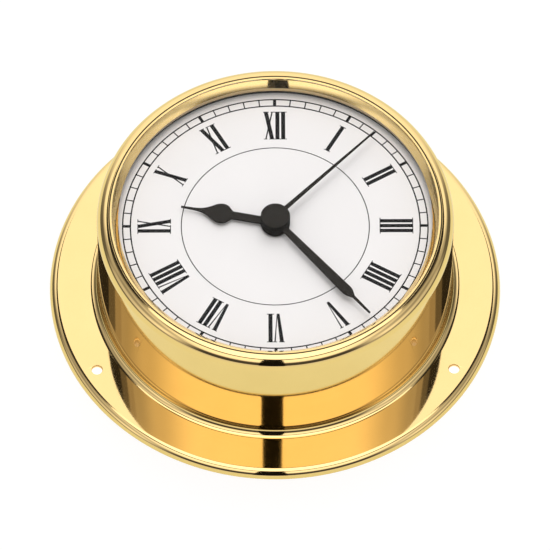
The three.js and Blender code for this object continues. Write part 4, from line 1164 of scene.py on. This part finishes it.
def background(strength):
    """A plain white room."""
    return sent(tree, "ShaderNodeBackground", {"Color": grey(1.0), "Strength": strength})


path = place(tree, "ShaderNodeLightPath").outputs
look = sent(tree, "ShaderNodeTexCoord", out="Generated")
height = sent(tree, "ShaderNodeSeparateXYZ", {"Vector": look}, out="Z")
level = sent(tree, "ShaderNodeVectorMath", {0: look, 1: (1.0, 1.0, 0.0)}, operation="MULTIPLY")
level = sent(tree, "ShaderNodeVectorMath", {0: level}, operation="NORMALIZE")
backward = sent(tree, "ShaderNodeSeparateXYZ", {"Vector": level}, out="Y")
behind = sent(tree, "ShaderNodeMapRange", {"Value": backward, "From Min": -1.0, "From Max": 1.0})
around = shades(behind, round_about, brightest)
sky = tinted(tree, eased(height, *overhead_span), around, grey(zenith / brightest))
dim = shades(height, ahead_dim)
for stops, near, far in dims_behind:
    dim = tinted(tree, eased(behind, near, far), dim, shades(height, stops))
room = tree.nodes["Background"]
room.inputs["Strength"].default_value = brightest
tree.links.new(tinted(tree, 1.0, sky, dim, way="MULTIPLY"), room.inputs["Color"])
lit = mixed(tree, path["Is Diffuse Ray"], room.outputs["Background"], background(ambient))
show(tree, mixed(tree, path["Is Camera Ray"], lit, background(1.0)), end="World Output")


# Camera: a long lens, well above the clock and a little to the left of six o'clock.
# Its place and lens are those that the photo's outlines fit.
camera_distance = 1.9551
camera_height_angle = math.radians(57.03)
camera_roll = math.radians(0.26)
camera_swing = math.radians(-0.5)
image_side = 550
focal_pixels = 8000.0
aim_right, aim_up = 0.04, 12.37
sensor = 36.0
swing = Matrix.Rotation(camera_swing, 3, "Z")
ahead = swing @ Vector((0.0, math.cos(camera_height_angle), -math.sin(camera_height_angle)))
level_right = swing @ Vector((1.0, 0.0, 0.0))
level_up = level_right.cross(ahead)
right = math.cos(camera_roll) * level_right + math.sin(camera_roll) * level_up
up = math.cos(camera_roll) * level_up - math.sin(camera_roll) * level_right
stand = -ahead * camera_distance + (up * aim_up - right * aim_right) * camera_distance / focal_pixels
lens = bpy.data.cameras.new("camera")
lens.sensor_width = sensor
lens.lens = focal_pixels / image_side * sensor
lens.clip_end = 100.0
camera = loose("camera", lens)
camera.matrix_world = Matrix.Translation(stand) @ Matrix((right, up, -ahead)).transposed().to_4x4()
bpy.context.scene.camera = camera
bpy.context.scene.view_settings.view_transform = "Standard"
